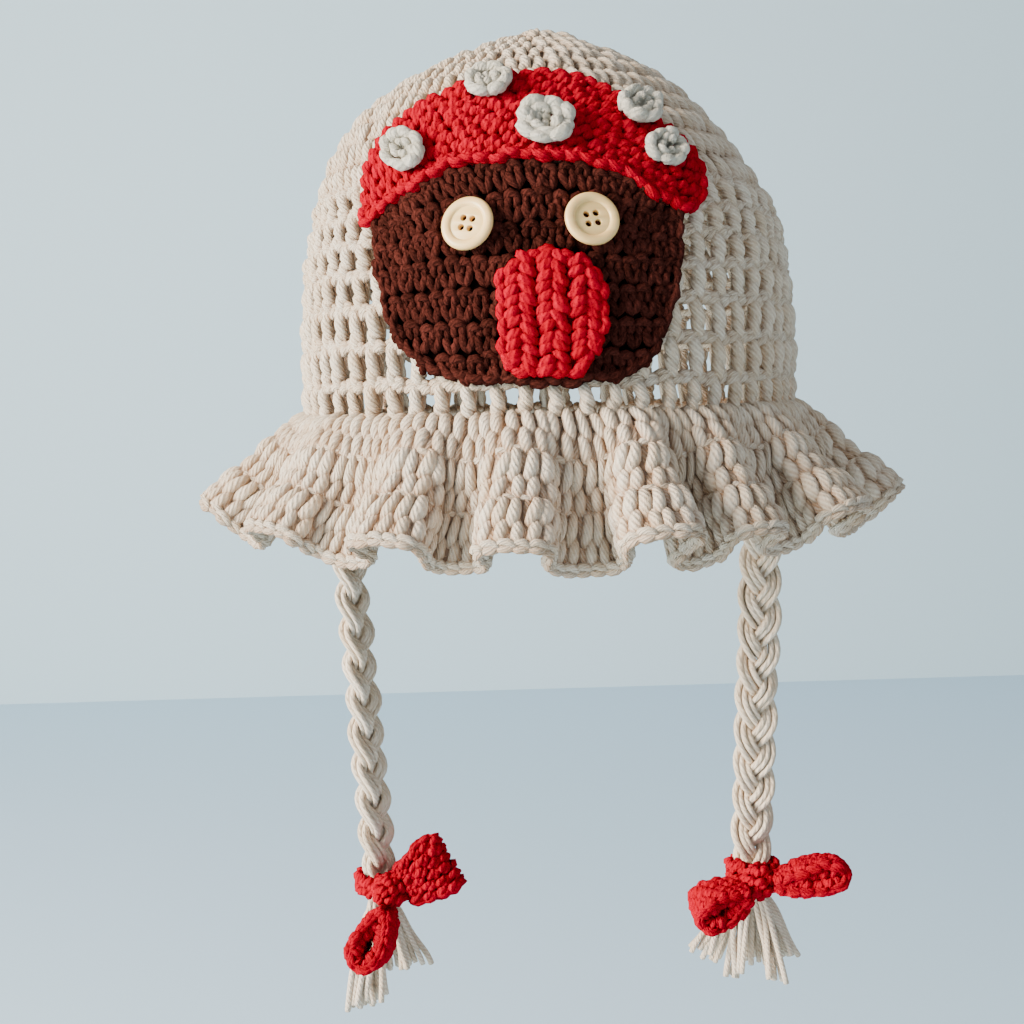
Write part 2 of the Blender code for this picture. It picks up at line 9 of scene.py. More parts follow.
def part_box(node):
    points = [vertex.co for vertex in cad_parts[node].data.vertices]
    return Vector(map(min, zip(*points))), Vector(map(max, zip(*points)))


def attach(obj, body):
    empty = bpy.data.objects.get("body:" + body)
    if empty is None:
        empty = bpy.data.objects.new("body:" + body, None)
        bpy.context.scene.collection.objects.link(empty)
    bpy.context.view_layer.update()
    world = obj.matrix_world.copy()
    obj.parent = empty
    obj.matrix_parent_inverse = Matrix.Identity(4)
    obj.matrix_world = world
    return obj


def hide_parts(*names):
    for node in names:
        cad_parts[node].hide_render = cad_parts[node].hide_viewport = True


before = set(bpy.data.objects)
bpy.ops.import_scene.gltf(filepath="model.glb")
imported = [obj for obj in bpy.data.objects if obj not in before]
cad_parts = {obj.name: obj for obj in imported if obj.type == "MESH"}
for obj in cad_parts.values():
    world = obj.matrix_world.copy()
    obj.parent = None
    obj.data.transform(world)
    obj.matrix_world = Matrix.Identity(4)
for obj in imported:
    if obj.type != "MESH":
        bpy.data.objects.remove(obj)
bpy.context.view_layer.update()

# The camera stands half a metre in front of the hat, a little above the brim's upper edge, and looks down a
# few degrees, with the frame turned a little.
RIM_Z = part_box("crown")[0].z
EYE = Vector((-0.0145, -0.520, RIM_Z + 0.011))
LOOK_DOWN = math.radians(5.2)
FRAME_TURN = math.radians(-1.65)
FOCAL_LENGTH = 50.27
SENSOR_WIDTH = 36

eye = bpy.data.cameras.new("photo camera")
eye.sensor_width = SENSOR_WIDTH
eye.lens = FOCAL_LENGTH
camera = bpy.data.objects.new("photo camera", eye)
camera.matrix_world = (
    Matrix.Translation(EYE)
    @ Matrix.Rotation(math.radians(90) - LOOK_DOWN, 4, "X")
    @ Matrix.Rotation(FRAME_TURN, 4, "Z")
)
bpy.context.scene.collection.objects.link(camera)
bpy.context.scene.camera = camera


# Hanging ties: each is a flat plait of three strands of soft ivory cotton yarn, six yarns in a strand, sewn
# under the brim and gathered where the bow binds its end. They are 180 mm long.
TIE_ROUTES = {
    "left": (
        (-0.0838, 0.0212, -0.1353),
        (-0.0811, 0.0206, -0.1400),
        (-0.0794, 0.0202, -0.1465),
        (-0.0785, 0.0200, -0.1550),
        (-0.0777, 0.0198, -0.1700),
        (-0.0764, 0.0194, -0.1920),
        (-0.0748, 0.0188, -0.2180),
        (-0.0731, 0.0182, -0.2440),
        (-0.0714, 0.0176, -0.2700),
        (-0.0700, 0.0172, -0.2920),
        (-0.0692, 0.0170, -0.3135),
    ),
    "right": (
        (0.0832, 0.0212, -0.1353),
        (0.0812, 0.0206, -0.1400),
        (0.0803, 0.0202, -0.1465),
        (0.0801, 0.0200, -0.1550),
        (0.0800, 0.0198, -0.1700),
        (0.0793, 0.0194, -0.1920),
        (0.0782, 0.0188, -0.2180),
        (0.0767, 0.0182, -0.2440),
        (0.0754, 0.0176, -0.2700),
        (0.0745, 0.0172, -0.2920),
        (0.0741, 0.0170, -0.3135),
    ),
}
TIE_DIAMETER = 0.014
PLAIT_PITCH = 0.039
PLAIT_SWING = 0.0049
PLAIT_DEPTH = 0.0024
PLAIT_RINGS = 150
PLAIT_YARN = 0.0024
YARNS_ACROSS = 3
YARN_LAYERS = 2
YARN_WANDER = 0.00028
# How close the yarns of a strand lie side by side and one behind the other, as shares of a yarn's width
SIDE_BY_SIDE = 0.88
BEHIND = 0.85
# How narrow the plait is at its sewn root and at its bound end, and the shares of its length that this takes
ROOT_WIDTH = 0.72
ROOT_SHARE = 0.14
END_WIDTH = 0.58
END_SHARE = 0.10
# The share of its length over which the strands part from one flat bundle
PARTING_SHARE = 0.12
# How far the flat face of each plait is turned from the front, at its top and at its end, in degrees
PLAIT_TURNS = {"left": (84, 58), "right": (-8, 4)}

# The yarn's finish. Its fibres are under 0.02 mm thick and too fine to show, so they are drawn coarser than
# they are: in streaks 2 mm long, sixteen round a strand, and in tufts of fuzz 1 mm wide. Their paler colour
# is partly the fibres' own tone and partly painted highlight. The dye took unevenly, in patches of 6 mm.
STREAK_LENGTH = 0.002
STREAKS_ROUND = 16
TUFT_WIDTH = 0.001
PATCH_WIDTH = 0.00625
MATH = "ShaderNodeMath"
NOISE = "ShaderNodeTexNoise"
MIX = "ShaderNodeMix"


def linear(hex_colour):
    """A linear colour from an sRGB hex value."""
    parts = [int(hex_colour[i : i + 2], 16) / 255 for i in (1, 3, 5)]
    return [p / 12.92 if p <= 0.04045 else ((p + 0.055) / 1.055) ** 2.4 for p in parts] + [1]


def add_node(tree, kind, links=(), **settings):
    """Adds a shader node, sets its fields and sockets, and links its inputs to other nodes' outputs."""
    node = tree.nodes.new(kind)
    for name, value in settings.items():
        if name.startswith("in_"):
            node.inputs[int(name[3:])].default_value = value
        else:
            setattr(node, name, value)
    for number, output in links:
        tree.links.new(output, node.inputs[number])
    return node


def new_finish(name, looks):
    """A new material, and its shader with some inputs set by their names."""
    finish = bpy.data.materials.new(name)
    finish.use_nodes = True
    shader = finish.node_tree.nodes["Principled BSDF"]
    for label, value in looks.items():
        shader.inputs[label].default_value = value
    return finish, shader


def yarn_finish(name, colour, deep, pale, fuzz, relief=0.0004, ply=0.0018, plies=5, sheen=0.3):
    """Plied yarn: a matt coat of fibres over the plies' slanting ridges, with painted shade that darkens it
    in its folds and in the grooves between its plies.
    """
    looks = {"Roughness": 0.9, "Specular IOR Level": sheen / 2, "IOR": 1 + 1.5 * sheen}
    looks |= {"Sheen Weight": sheen, "Sheen Roughness": 0.4, "Sheen Tint": linear(pale)}
    finish, shader = new_finish(name, looks)
    tree = finish.node_tree
    place = add_node(tree, "ShaderNodeTexCoord")
    along = add_node(tree, "ShaderNodeSeparateXYZ", [(0, place.outputs["UV"])])
    turns = add_node(tree, MATH, [(0, along.outputs[0])], operation="MULTIPLY", in_1=math.tau / ply)
    starts = add_node(tree, MATH, [(0, along.outputs[1])], operation="MULTIPLY", in_1=math.tau * plies)
    phase = add_node(tree, MATH, [(0, turns.outputs[0]), (1, starts.outputs[0])], operation="ADD")
    wave = add_node(tree, MATH, [(0, phase.outputs[0])], operation="SINE")
    ridge = add_node(tree, MATH, [(0, wave.outputs[0])], operation="MULTIPLY_ADD", in_1=0.5, in_2=0.5)
    streaks = (1 / STREAK_LENGTH, STREAKS_ROUND, 1)
    drawn = add_node(tree, "ShaderNodeMapping", [(0, place.outputs["UV"])], in_3=streaks)
    streak = add_node(tree, NOISE, [(0, drawn.outputs[0])], in_2=1, in_3=4, in_4=0.7)
    tuft = add_node(tree, NOISE, [(0, place.outputs["Object"])], in_2=1 / TUFT_WIDTH, in_3=4, in_4=0.7)
    rough = add_node(tree, MATH, [(0, streak.outputs[0]), (1, tuft.outputs[0])], operation="ADD")
    woolly = {"operation": "MULTIPLY_ADD", "in_1": 2 * fuzz}
    height = add_node(tree, MATH, [(0, rough.outputs[0]), (2, ridge.outputs[0])], **woolly)
    bump = add_node(tree, "ShaderNodeBump", [(3, height.outputs[0])], in_0=0.9, in_1=relief)
    tree.links.new(bump.outputs[0], shader.inputs["Normal"])
    patch = add_node(tree, NOISE, [(0, place.outputs["Object"])], in_2=1 / PATCH_WIDTH, in_3=2, in_4=0.6)
    tone = add_node(tree, "ShaderNodeAttribute", attribute_name="stitch_tone")
    # Painted shade of the folds: each corner's share of the way towards the deep colour
    fold_shade = add_node(tree, "ShaderNodeAttribute", attribute_name="fold_depth")
    base = add_node(tree, MATH, [(0, patch.outputs[0]), (1, tone.outputs[2])], operation="ADD")
    # Paler streaks and tufts: partly random tone of the fibres, partly painted highlight on them
    light = add_node(tree, MATH, [(0, rough.outputs[0]), (2, base.outputs[0])], **woolly)
    darkest, palest = 0.65 + 1.55 * fuzz, 1.35 + 2.45 * fuzz
    span = add_node(tree, "ShaderNodeMapRange", [(0, light.outputs[0])], in_1=darkest, in_2=palest)
    tones = {"data_type": "RGBA", "in_6": linear(colour), "in_7": linear(pale)}
    body = add_node(tree, MIX, [(0, span.outputs[0])], **tones)
    # Painted shade in the grooves between the plies, up to a quarter of the way towards the deep colour
    groove_shade = add_node(tree, MATH, [(0, ridge.outputs[0])], operation="MULTIPLY_ADD", in_1=-0.25, in_2=0.25)
    folded = [(0, fold_shade.outputs[2]), (1, groove_shade.outputs[0])]
    painted_shade = add_node(tree, MATH, folded, operation="ADD", use_clamp=True)
    shade_mix = [(0, painted_shade.outputs[0]), (6, body.outputs[2])]
    coat = add_node(tree, MIX, shade_mix, data_type="RGBA", in_7=linear(deep))
    tree.links.new(coat.outputs[2], shader.inputs["Base Color"])
    return finish


def shape_of(curve):
    """The surface of a curve as a bmesh, with its doubles merged; the curve itself is removed."""
    holder = bpy.data.objects.new("holder", curve)
    surface = bpy.data.meshes.new_from_object(holder)
    bpy.data.objects.remove(holder)
    bpy.data.curves.remove(curve)
    shape = bmesh.new()
    shape.from_mesh(surface)
    bpy.data.meshes.remove(surface)
    bmesh.ops.remove_doubles(shape, verts=shape.verts, dist=1e-7)
    return shape


def lengths_along(points):
    """The length along a line up to each of its points."""
    return np.concatenate([[0], np.cumsum(np.linalg.norm(np.diff(points, axis=0), axis=1))])


def strand(points, radii, sides):
    """A closed tube of yarn: its corners, faces, and UVs in metres along it and in turns round it."""
    curve = bpy.data.curves.new("strand", "CURVE")
    curve.dimensions = "3D"
    curve.bevel_depth = 1
    curve.bevel_resolution = (sides - 4) // 2
    curve.use_fill_caps = True
    spline = curve.splines.new("POLY")
    spline.points.add(len(points) - 1)
    spline.points.foreach_set("co", np.hstack([points, np.ones((len(points), 1))]).ravel())
    spline.points.foreach_set("radius", np.asarray(radii, float))
    shape = shape_of(curve)
    bmesh.ops.recalc_face_normals(shape, faces=shape.faces)
    length = lengths_along(points)[-1]
    layer = shape.loops.layers.uv[0]
    shape.verts.index_update()
    corners = np.array([corner.co for corner in shape.verts])
    faces = [[loop.vert.index for loop in face.loops] for face in shape.faces]
    uvs = [(loop[layer].uv.x * length, loop[layer].uv.y) for face in shape.faces for loop in face.loops]
    shape.free()
    return corners, faces, np.array(uvs)


def joined(strands):
    """Strands as one set of corners, face sizes, corner numbers of the faces, and UVs."""
    corners, faces, uvs, start = [], [], [], 0
    for places, polygons, uv in strands:
        corners.append(places)
        faces += [[start + corner for corner in face] for face in polygons]
        uvs.append(uv)
        start += len(places)
    sizes = np.array([len(face) for face in faces])
    faces = np.concatenate(faces)
    return {"corners": np.vstack(corners), "sizes": sizes, "faces": faces, "uvs": np.vstack(uvs)}


def smooth_run(points, steps):
    """Points along a smooth curve through a few given ones; more columns, such as a radius, go with them."""
    points = np.asarray(points, float)
    before, after = 2 * points[0] - points[1], 2 * points[-1] - points[-2]
    row = np.vstack([before, points, after])
    at = np.linspace(0, len(points) - 1, steps)
    first = np.minimum(at.astype(int), len(points) - 2)
    t = (at - first)[:, None]
    a, b, c, d = (row[first + k] for k in range(4))
    return 0.5 * (2 * b + (c - a) * t + (2 * a - 5 * b + 4 * c - d) * t**2 + (3 * b - a - 3 * c + d) * t**3)


def placed(name, mesh, finish):
    """A piece of the scene with its finish."""
    mesh.materials.append(finish)
    piece = bpy.data.objects.new(name, mesh)
    bpy.context.scene.collection.objects.link(piece)
    return piece


def set_values(mesh, label, values):
    """Gives each corner of a mesh a value that its finish reads."""
    attribute = mesh.attributes.new(label, "FLOAT", "POINT")
    attribute.data.foreach_set("value", np.ascontiguousarray(values, np.float32))


def piece_of_yarn(name, parts, finish, tone, depth):
    """One smooth piece from joined strands, with its UV map, each corner's tone and its painted shade."""
    mesh = bpy.data.meshes.new(name)
    mesh.vertices.add(len(parts["corners"]))
    mesh.vertices.foreach_set("co", np.ascontiguousarray(parts["corners"], np.float32).ravel())
    mesh.loops.add(len(parts["faces"]))
    mesh.loops.foreach_set("vertex_index", np.ascontiguousarray(parts["faces"], np.int32))
    mesh.polygons.add(len(parts["sizes"]))
    starts = np.concatenate([[0], np.cumsum(parts["sizes"])[:-1]])
    mesh.polygons.foreach_set("loop_start", np.ascontiguousarray(starts, np.int32))
    mesh.update(calc_edges=True)
    layer = mesh.uv_layers.new(name="yarn")
    layer.data.foreach_set("uv", np.ascontiguousarray(parts["uvs"], np.float32).ravel())
    set_values(mesh, "stitch_tone", tone)
    set_values(mesh, "fold_depth", depth)
    mesh.shade_smooth()
    mesh.validate()
    return placed(name, mesh, finish)


def bundle_of_yarns(name, yarns, finish, tones, depth):
    """One piece from long yarns, each with its own tone, and all with one share of painted shade."""
    tone = np.concatenate([np.full(len(yarn[0]), own) for yarn, own in zip(yarns, tones, strict=True)])
    return piece_of_yarn(name, joined(yarns), finish, tone, np.full(len(tone), depth))


# Soft spun cotton: matt and warm white, with long plies that show as slanting lines on each yarn
plied = {"relief": 0.0003, "ply": 0.0024, "plies": 4}
plait_yarn = yarn_finish("soft ivory cotton yarn, plaited", "#E2CBAC", "#A8784E", "#F8ECDA", 1.0, **plied)
plaits = {}
for side, route in TIE_ROUTES.items():
    draw = np.random.default_rng(11 if side == "left" else 12)
    line = smooth_run(route, PLAIT_RINGS)
    run = lengths_along(line)
    tangent = np.gradient(line, axis=0)
    tangent /= np.linalg.norm(tangent, axis=1)[:, None]
    turn = np.radians(np.linspace(*PLAIT_TURNS[side], PLAIT_RINGS))
    level = np.stack([np.cos(turn), np.sin(turn), np.zeros(PLAIT_RINGS)], axis=1)
    level -= tangent * (level * tangent).sum(1)[:, None]
    level /= np.linalg.norm(level, axis=1)[:, None]
    facing = np.cross(level, tangent)
    share = run / run[-1]
    gather = END_WIDTH + (1 - END_WIDTH) * np.clip((1 - share) / END_SHARE, 0, 1) ** 0.7
    gather *= ROOT_WIDTH + (1 - ROOT_WIDTH) * np.clip(share / ROOT_SHARE, 0, 1)
    parting = np.clip(share / PARTING_SHARE, 0, 1)
    strands, tones = [], []
    for number in range(3):
        phase = math.tau * (run / PLAIT_PITCH + number / 3)
        across = PLAIT_SWING * gather * np.sin(phase)
        out = PLAIT_DEPTH * gather * np.sin(2 * phase) * parting
        lean = np.arctan(np.gradient(across, run))
        sideways = level * np.cos(lean)[:, None] - tangent * np.sin(lean)[:, None]
        for place in range(YARNS_ACROSS):
            for layer in range(YARN_LAYERS):
                wander = smooth_run(draw.normal(0, YARN_WANDER, (12, 2)), PLAIT_RINGS)
                aside = (place - (YARNS_ACROSS - 1) / 2) * PLAIT_YARN * SIDE_BY_SIDE * gather + wander[:, 0]
                deep = (layer - (YARN_LAYERS - 1) / 2) * PLAIT_YARN * BEHIND * gather + wander[:, 1]
                centre = line + level * across[:, None] + facing * (out + deep)[:, None]
                centre += sideways * aside[:, None]
                swell = 0.97 + 0.05 * smooth_run(draw.normal(0, 1, (9, 1)), PLAIT_RINGS)[:, 0]
                strands.append(strand(centre, PLAIT_YARN / 2 * swell, 6))
                tones.append(draw.uniform(0.2, 0.8))
    plaits[side] = bundle_of_yarns("plait_" + side, strands, plait_yarn, tones, 0.0)
    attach(plaits[side], "root")
    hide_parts("tie_" + side)


# Crown: a dome crocheted in rounds of thick ivory cotton yarn from the top down. Its upper rounds are close
# treble stitches. In the seven rounds above the brim single posts stand 9 mm apart with open gaps between.
HEAD_RADIUS = 0.083
CROWN_DEPTH = 0.1255
CROWN_WALL = 0.0045
PEAK_HEIGHT = 0.0045
PEAK_RADIUS = 0.014
SHOULDER_POWER = 3.3
SHOULDER_ROOT = 1.75
CROWN_LEAN = 0.0042
WHOLE_HEIGHT = CROWN_DEPTH + PEAK_HEIGHT + CROWN_WALL
POSTS = 60
POST_SPACING = 0.0090
OPEN_ROUNDS = (0.0, 0.0108, 0.0234, 0.0357, 0.0467, 0.0565, 0.0659, 0.0753)
CLOSE_ROUNDS = 11
CLOSE_SPACING = 0.0047
ROUND_DRIFT = 0.13
# The posts' width in the lowest round, as a share, and how much wider they are in each round above it
POST_WIDTH = 0.92
POST_WIDENING = 0.03
# The heights that the patterns of a post and of a close stitch are drawn for
POST_TALL = 0.0115
CLOSE_TALL = 0.0094
# Where the house and the cap are sewn on, as an oval with its middle and reach in radians round the crown and
# metres up it. Inside it the stitches are pressed down to this height over the wall's middle, and past it the
# limit rises.
SEWN_MIDDLE = (-0.105, 0.060)
SEWN_REACH = (0.50, 0.050)
PRESSED_HEIGHT = 0.0031
PRESSED_RISE = 0.004
# How far, at random, a stitch is turned, swollen, shifted and lifted
STRAY_TURN = 0.06
STRAY_SIZE = 0.06
STRAY_SHIFT = 0.00028
STRAY_LIFT = 0.0001
# The layer of yarn in the middle of a knit wall
INNER_THICK = 0.0008

# Strands of a post, of a close stitch and of a link of the ridge between rounds: across, up and out from
# the wall's middle, and radius, in millimetres
POST = (
    (
        (-0.6, 5.8, -0.6, 1.3), (-1.0, 4.0, 0.9, 1.9), (-0.4, 1.2, 1.5, 2.1),
        (0.7, -1.4, 1.0, 1.7), (1.0, -3.4, -0.4, 1.1),
    ),
    (
        (0.3, 1.6, -0.9, 1.0), (-1.1, -0.2, 0.3, 1.45), (-1.2, -2.4, 1.1, 1.9),
        (-0.2, -4.4, 0.9, 1.85), (0.5, -6.1, -0.5, 1.4),
    ),
    ((0.8, 3.6, -0.4, 1.0), (2.6, 4.7, 0.6, 1.45), (4.3, 5.4, 0.6, 1.35), (5.6, 6.4, -0.4, 0.9)),
    ((-3.9, -5.4, -0.3, 0.9), (-2.5, -4.5, 0.7, 1.35), (-0.7, -4.8, 0.6, 1.3), (0.8, -5.6, -0.4, 1.0)),
)
POST_BACK = (
    ((0.8, 5.8, -0.9, 1.1), (0.8, 2.6, -1.1, 1.35), (0.1, -2.4, -1.2, 1.35), (-0.4, -6.0, -0.8, 1.1)),
)
CLOSE_STITCH = (
    (
        (-0.6, 5.4, -0.5, 1.2), (-0.9, 3.4, 0.6, 1.75), (-0.1, 0.6, 1.0, 1.85),
        (0.8, -2.2, 0.5, 1.5), (1.0, -4.2, -0.6, 1.0),
    ),
)
CLOSE_BACK = (
    ((-0.2, 1.6, -0.8, 1.0), (-1.1, -0.8, 0.2, 1.45), (-0.7, -3.0, 0.5, 1.5), (0.3, -5.2, -0.3, 1.1)),
    ((1.0, 5.0, -0.8, 1.1), (1.0, 1.8, -1.2, 1.5), (0.0, -2.2, -1.2, 1.5), (-0.6, -5.0, -0.7, 1.1)),
)
LINK = (
    ((-3.0, -1.4, -0.3, 1.0), (-1.4, -0.8, 0.7, 1.3), (0.6, -0.2, 1.1, 1.4), (2.4, -0.6, 0.3, 1.1)),
    ((-2.6, 0.8, -0.1, 1.0), (-0.9, 1.3, 0.6, 1.25), (0.9, 0.9, 0.8, 1.3), (2.6, 0.1, 0.1, 1.0)),
    ((-2.9, 0.4, -0.6, 1.1), (-0.8, 0.6, -1.2, 1.5), (1.2, 0.3, -1.2, 1.5), (3.0, 0.3, -0.6, 1.1)),
)


def crown_profile():
    """The length along the crown's outside, and its radius, its height over the rim and its normal there."""
    share = 1 - (1 - np.linspace(0, 1, 400)) ** 2
    radius = HEAD_RADIUS * (1 - share**SHOULDER_POWER) ** (1 / SHOULDER_ROOT)
    height = CROWN_DEPTH * share + PEAK_HEIGHT * np.exp(-((radius / PEAK_RADIUS) ** 2))
    across, up = np.gradient(radius), np.gradient(height)
    length = np.hypot(across, up)
    normal_out, normal_up = up / length, -across / length
    normal_out[0], normal_up[0] = 1, 0
    normal_out[-1], normal_up[-1] = 0, 1
    radius, height = radius + CROWN_WALL * normal_out, height + CROWN_WALL * normal_up
    return lengths_along(np.stack([radius, height], axis=1)), radius, height, normal_out, normal_up


RUN, OUT_RADIUS, OUT_HEIGHT, NORMAL_OUT, NORMAL_UP = crown_profile()
CROWN_RUN = float(RUN[-1])


def on_crown(angle, run, above):
    """Places at angles from the front, at lengths up the crown's outside, and above that surface."""
    out, up = (np.interp(run, RUN, part) for part in (NORMAL_OUT, NORMAL_UP))
    radius = np.interp(run, RUN, OUT_RADIUS) + above * out
    height = np.interp(run, RUN, OUT_HEIGHT) + above * up
    lean = CROWN_LEAN * np.sin(np.pi * np.clip(2 * height / WHOLE_HEIGHT - 1, 0, 1))
    return np.stack([np.sin(angle) * radius - lean, -np.cos(angle) * radius, RIM_Z + height], axis=-1)


def in_wall(angle, run, above):
    """Places over the wall's middle, pressed flatter under the pieces that are sewn on the front."""
    turned = (angle + math.pi) % math.tau - math.pi
    away = np.hypot((turned - SEWN_MIDDLE[0]) / SEWN_REACH[0], (run - SEWN_MIDDLE[1]) / SEWN_REACH[1])
    flat = np.minimum(above, PRESSED_HEIGHT + PRESSED_RISE * np.maximum(away - 1, 0))
    return on_crown(angle, run, flat - CROWN_WALL / 2)


def stitch(*groups):
    """The pattern of one stitch: groups of strands in millimetres, each with its sides and its rings."""
    tubes = []
    for strands, sides, rings in groups:
        runs = [smooth_run(points, rings) / 1000 for points in strands]
        tubes += [strand(run[:, :3], run[:, 3], sides) for run in runs]
    return joined(tubes)


def mirrored(pattern, flip):
    """A stitch's pattern mirrored, with its faces turned the right way again."""
    ends = np.cumsum(pattern["sizes"])
    order = [np.arange(end - 1, end - size - 1, -1) for end, size in zip(ends, pattern["sizes"], strict=True)]
    order = np.concatenate(order)
    turned = {key: pattern[key][order] for key in ("faces", "uvs")}
    return {"corners": pattern["corners"] * flip, "sizes": pattern["sizes"], **turned}


def work(name, jobs, finish, seed, loose=1.0, shaded_depth=0.0016, reach=0.65, woolly=0.00009):
    """Repeats stitches over surfaces and joins them. A job is a pattern, its cells and what lays them."""
    # A cell is a stitch's middle along and up the surface, its size both ways as shares, and its turn.
    # loose scales what strays at random, and woolly is how far the yarn swells and thins. Nearer the wall's
    # middle than the shaded depth the yarn gets painted shade, darkened towards its deep colour up to the
    # share reach.
    draw = np.random.default_rng(seed)
    parts = {key: [] for key in ("corners", "sizes", "faces", "uvs", "tone", "depth")}
    start = 0
    for pattern, cells, lay in jobs:
        cells = np.asarray(cells, float)
        count, corners = len(cells), pattern["corners"]
        turn = cells[:, 4:5] + draw.normal(0, STRAY_TURN * loose, (count, 1))
        grow = 1 + draw.normal(0, STRAY_SIZE * loose, (count, 1))
        shift = draw.normal(0, STRAY_SHIFT * loose, (count, 2))
        x, y, z = (corners[None, :, axis] for axis in range(3))
        along = cells[:, 0:1] + cells[:, 2:3] * (x * np.cos(turn) - y * np.sin(turn) + shift[:, 0:1])
        up = cells[:, 1:2] + cells[:, 3:4] * (x * np.sin(turn) + y * np.cos(turn) + shift[:, 1:2])
        above = z * grow + draw.normal(0, STRAY_LIFT * loose, (count, 1))
        places = lay(along, up, above).reshape(-1, 3)
        parts["corners"].append(places + draw.normal(0, woolly, places.shape))
        offset = start + np.arange(count)[:, None] * len(corners)
        parts["faces"].append((pattern["faces"][None, :] + offset).ravel())
        parts["sizes"].append(np.tile(pattern["sizes"], count))
        uvs = pattern["uvs"][None, :, :] + draw.uniform(0, 1, (count, 1, 2)) * (0.01, 1)
        parts["uvs"].append(uvs.reshape(-1, 2))
        parts["tone"].append(np.repeat(draw.uniform(0.15, 0.85, count), len(corners)))
        # Painted shade, strongest at the wall's middle, deep among the stitches
        deep = reach * np.clip(1 - np.abs(corners[:, 2]) / shaded_depth, 0, 1)
        parts["depth"].append(np.tile(deep, count))
        start += count * len(corners)
    whole = {key: np.concatenate(values) for key, values in parts.items()}
    return piece_of_yarn(name, whole, finish, whole["tone"], whole["depth"])


def inner_layer(name, rows, finish):
    """A thin layer in the middle of a knit wall, through rows of places, which closes the holes between
    stitches. It is painted dark as shade: with a yarn finish it takes most of the deep colour."""
    shape = bmesh.new()
    grid = [[shape.verts.new(place) for place in row] for row in rows]
    for near, far in zip(grid[:-1], grid[1:], strict=True):
        for corners in zip(near[:-1], near[1:], far[1:], far[:-1], strict=True):
            shape.faces.new(corners)
    bmesh.ops.remove_doubles(shape, verts=shape.verts, dist=1e-6)
    bmesh.ops.solidify(shape, geom=list(shape.faces), thickness=INNER_THICK)
    bmesh.ops.recalc_face_normals(shape, faces=shape.faces)
    mesh = bpy.data.meshes.new(name)
    shape.to_mesh(mesh)
    shape.free()
    # Painted shade: a middling tone and most of the way to the deep colour, for a yarn finish
    for label, value in (("stitch_tone", 0.4), ("fold_depth", 0.85)):
        set_values(mesh, label, np.full(len(mesh.vertices), value))
    return placed(name, mesh, finish)


# Thick cotton with eight fine plies: matt and warm white where it stands out, with painted shade that
# turns it tan deep in its folds
ivory_yarn = yarn_finish("thick ivory cotton yarn, crocheted", "#E2CAAA", "#A06C40", "#F8EDDA", 1.1, plies=8)
# Painted shade: the yarn deep in the wall, between the stitches, where little light comes, drawn as a dull
# grey brown
shade_looks = {"Base Color": linear("#7C6450"), "Roughness": 0.95}
shade, _ = new_finish("ivory cotton yarn in painted shade, deep in the wall", shade_looks)

post_stitch = stitch((POST[:2], 8, 8), (POST[2:], 6, 5), (POST_BACK, 6, 4))
close_stitch = stitch((CLOSE_STITCH, 8, 7), (CLOSE_BACK, 6, 4))
ridge_link = stitch((LINK[:2], 6, 5), (LINK[2:], 6, 4))

posts, links = [], []
step = math.tau / POSTS
for number, (low, high) in enumerate(zip(OPEN_ROUNDS[:-1], OPEN_ROUNDS[1:], strict=True)):
    tall = (high - low) / POST_TALL
    wide = (POST_WIDTH + POST_WIDENING * number) * step / POST_SPACING
    for post in range(POSTS):
        posts.append(((post + number * ROUND_DRIFT) * step, (low + high) / 2, wide, tall, 0))
    for link in range(2 * POSTS):
        links.append(((link / 2 + 0.25 + number * ROUND_DRIFT) * step, high, step / POST_SPACING, 1, 0))

close = []
round_height = (CROWN_RUN - OPEN_ROUNDS[-1]) / CLOSE_ROUNDS
for number in range(CLOSE_ROUNDS):
    middle = OPEN_ROUNDS[-1] + (number + 0.5) * round_height
    radius = float(np.interp(middle, RUN, OUT_RADIUS))
    count = max(8, round(math.tau * radius / CLOSE_SPACING))
    wide = math.tau / count / CLOSE_SPACING
    for place in range(count):
        close.append(((place + 0.5 * number) * math.tau / count, middle, wide, round_height / CLOSE_TALL, 0))

crown_posts, crown_ridges, crown_top = (
    work(name, [(pattern, cells, in_wall)], ivory_yarn, seed=seed, loose=loose, shaded_depth=0.0022)
    for name, pattern, cells, seed, loose in (
        ("crown_posts", post_stitch, posts, 21, 1.3),
        ("crown_ridges", ridge_link, links, 22, 1.8),
        ("crown_top", close_stitch, close, 23, 1.5),
    )
)
around = np.linspace(0, math.tau, 73)
runs = np.linspace(OPEN_ROUNDS[-1] + 0.001, CROWN_RUN - 0.001, 14)
rows = [in_wall(around, np.full(73, run), -0.0002) for run in runs]
crown_middle = inner_layer("crown_middle", rows, shade)
for piece in (crown_posts, crown_ridges, crown_top, crown_middle):
    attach(piece, "root")
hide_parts("crown")


# Brim: three gathered rounds of treble stitches in the same yarn, each with more stitches than the one above,
# so that it stands in fifteen folds, and a chained edge.
BRIM_LENGTH = 0.046
BRIM_SLOPE_FRONT = math.radians(62)
BRIM_SLOPE_SIDE = math.radians(47)
BRIM_SLOPE_BACK = math.radians(50)
BRIM_ROOT_SLOPE = 0.55
FOLD_HEIGHT = 0.0117
FOLD_START = 1.0
FOLD_OVERHANG = 1 / 9
BRIM_ROUNDS = 3
BRIM_SPACING = 0.0044
BRIM_LINK_SPACING = 0.0046
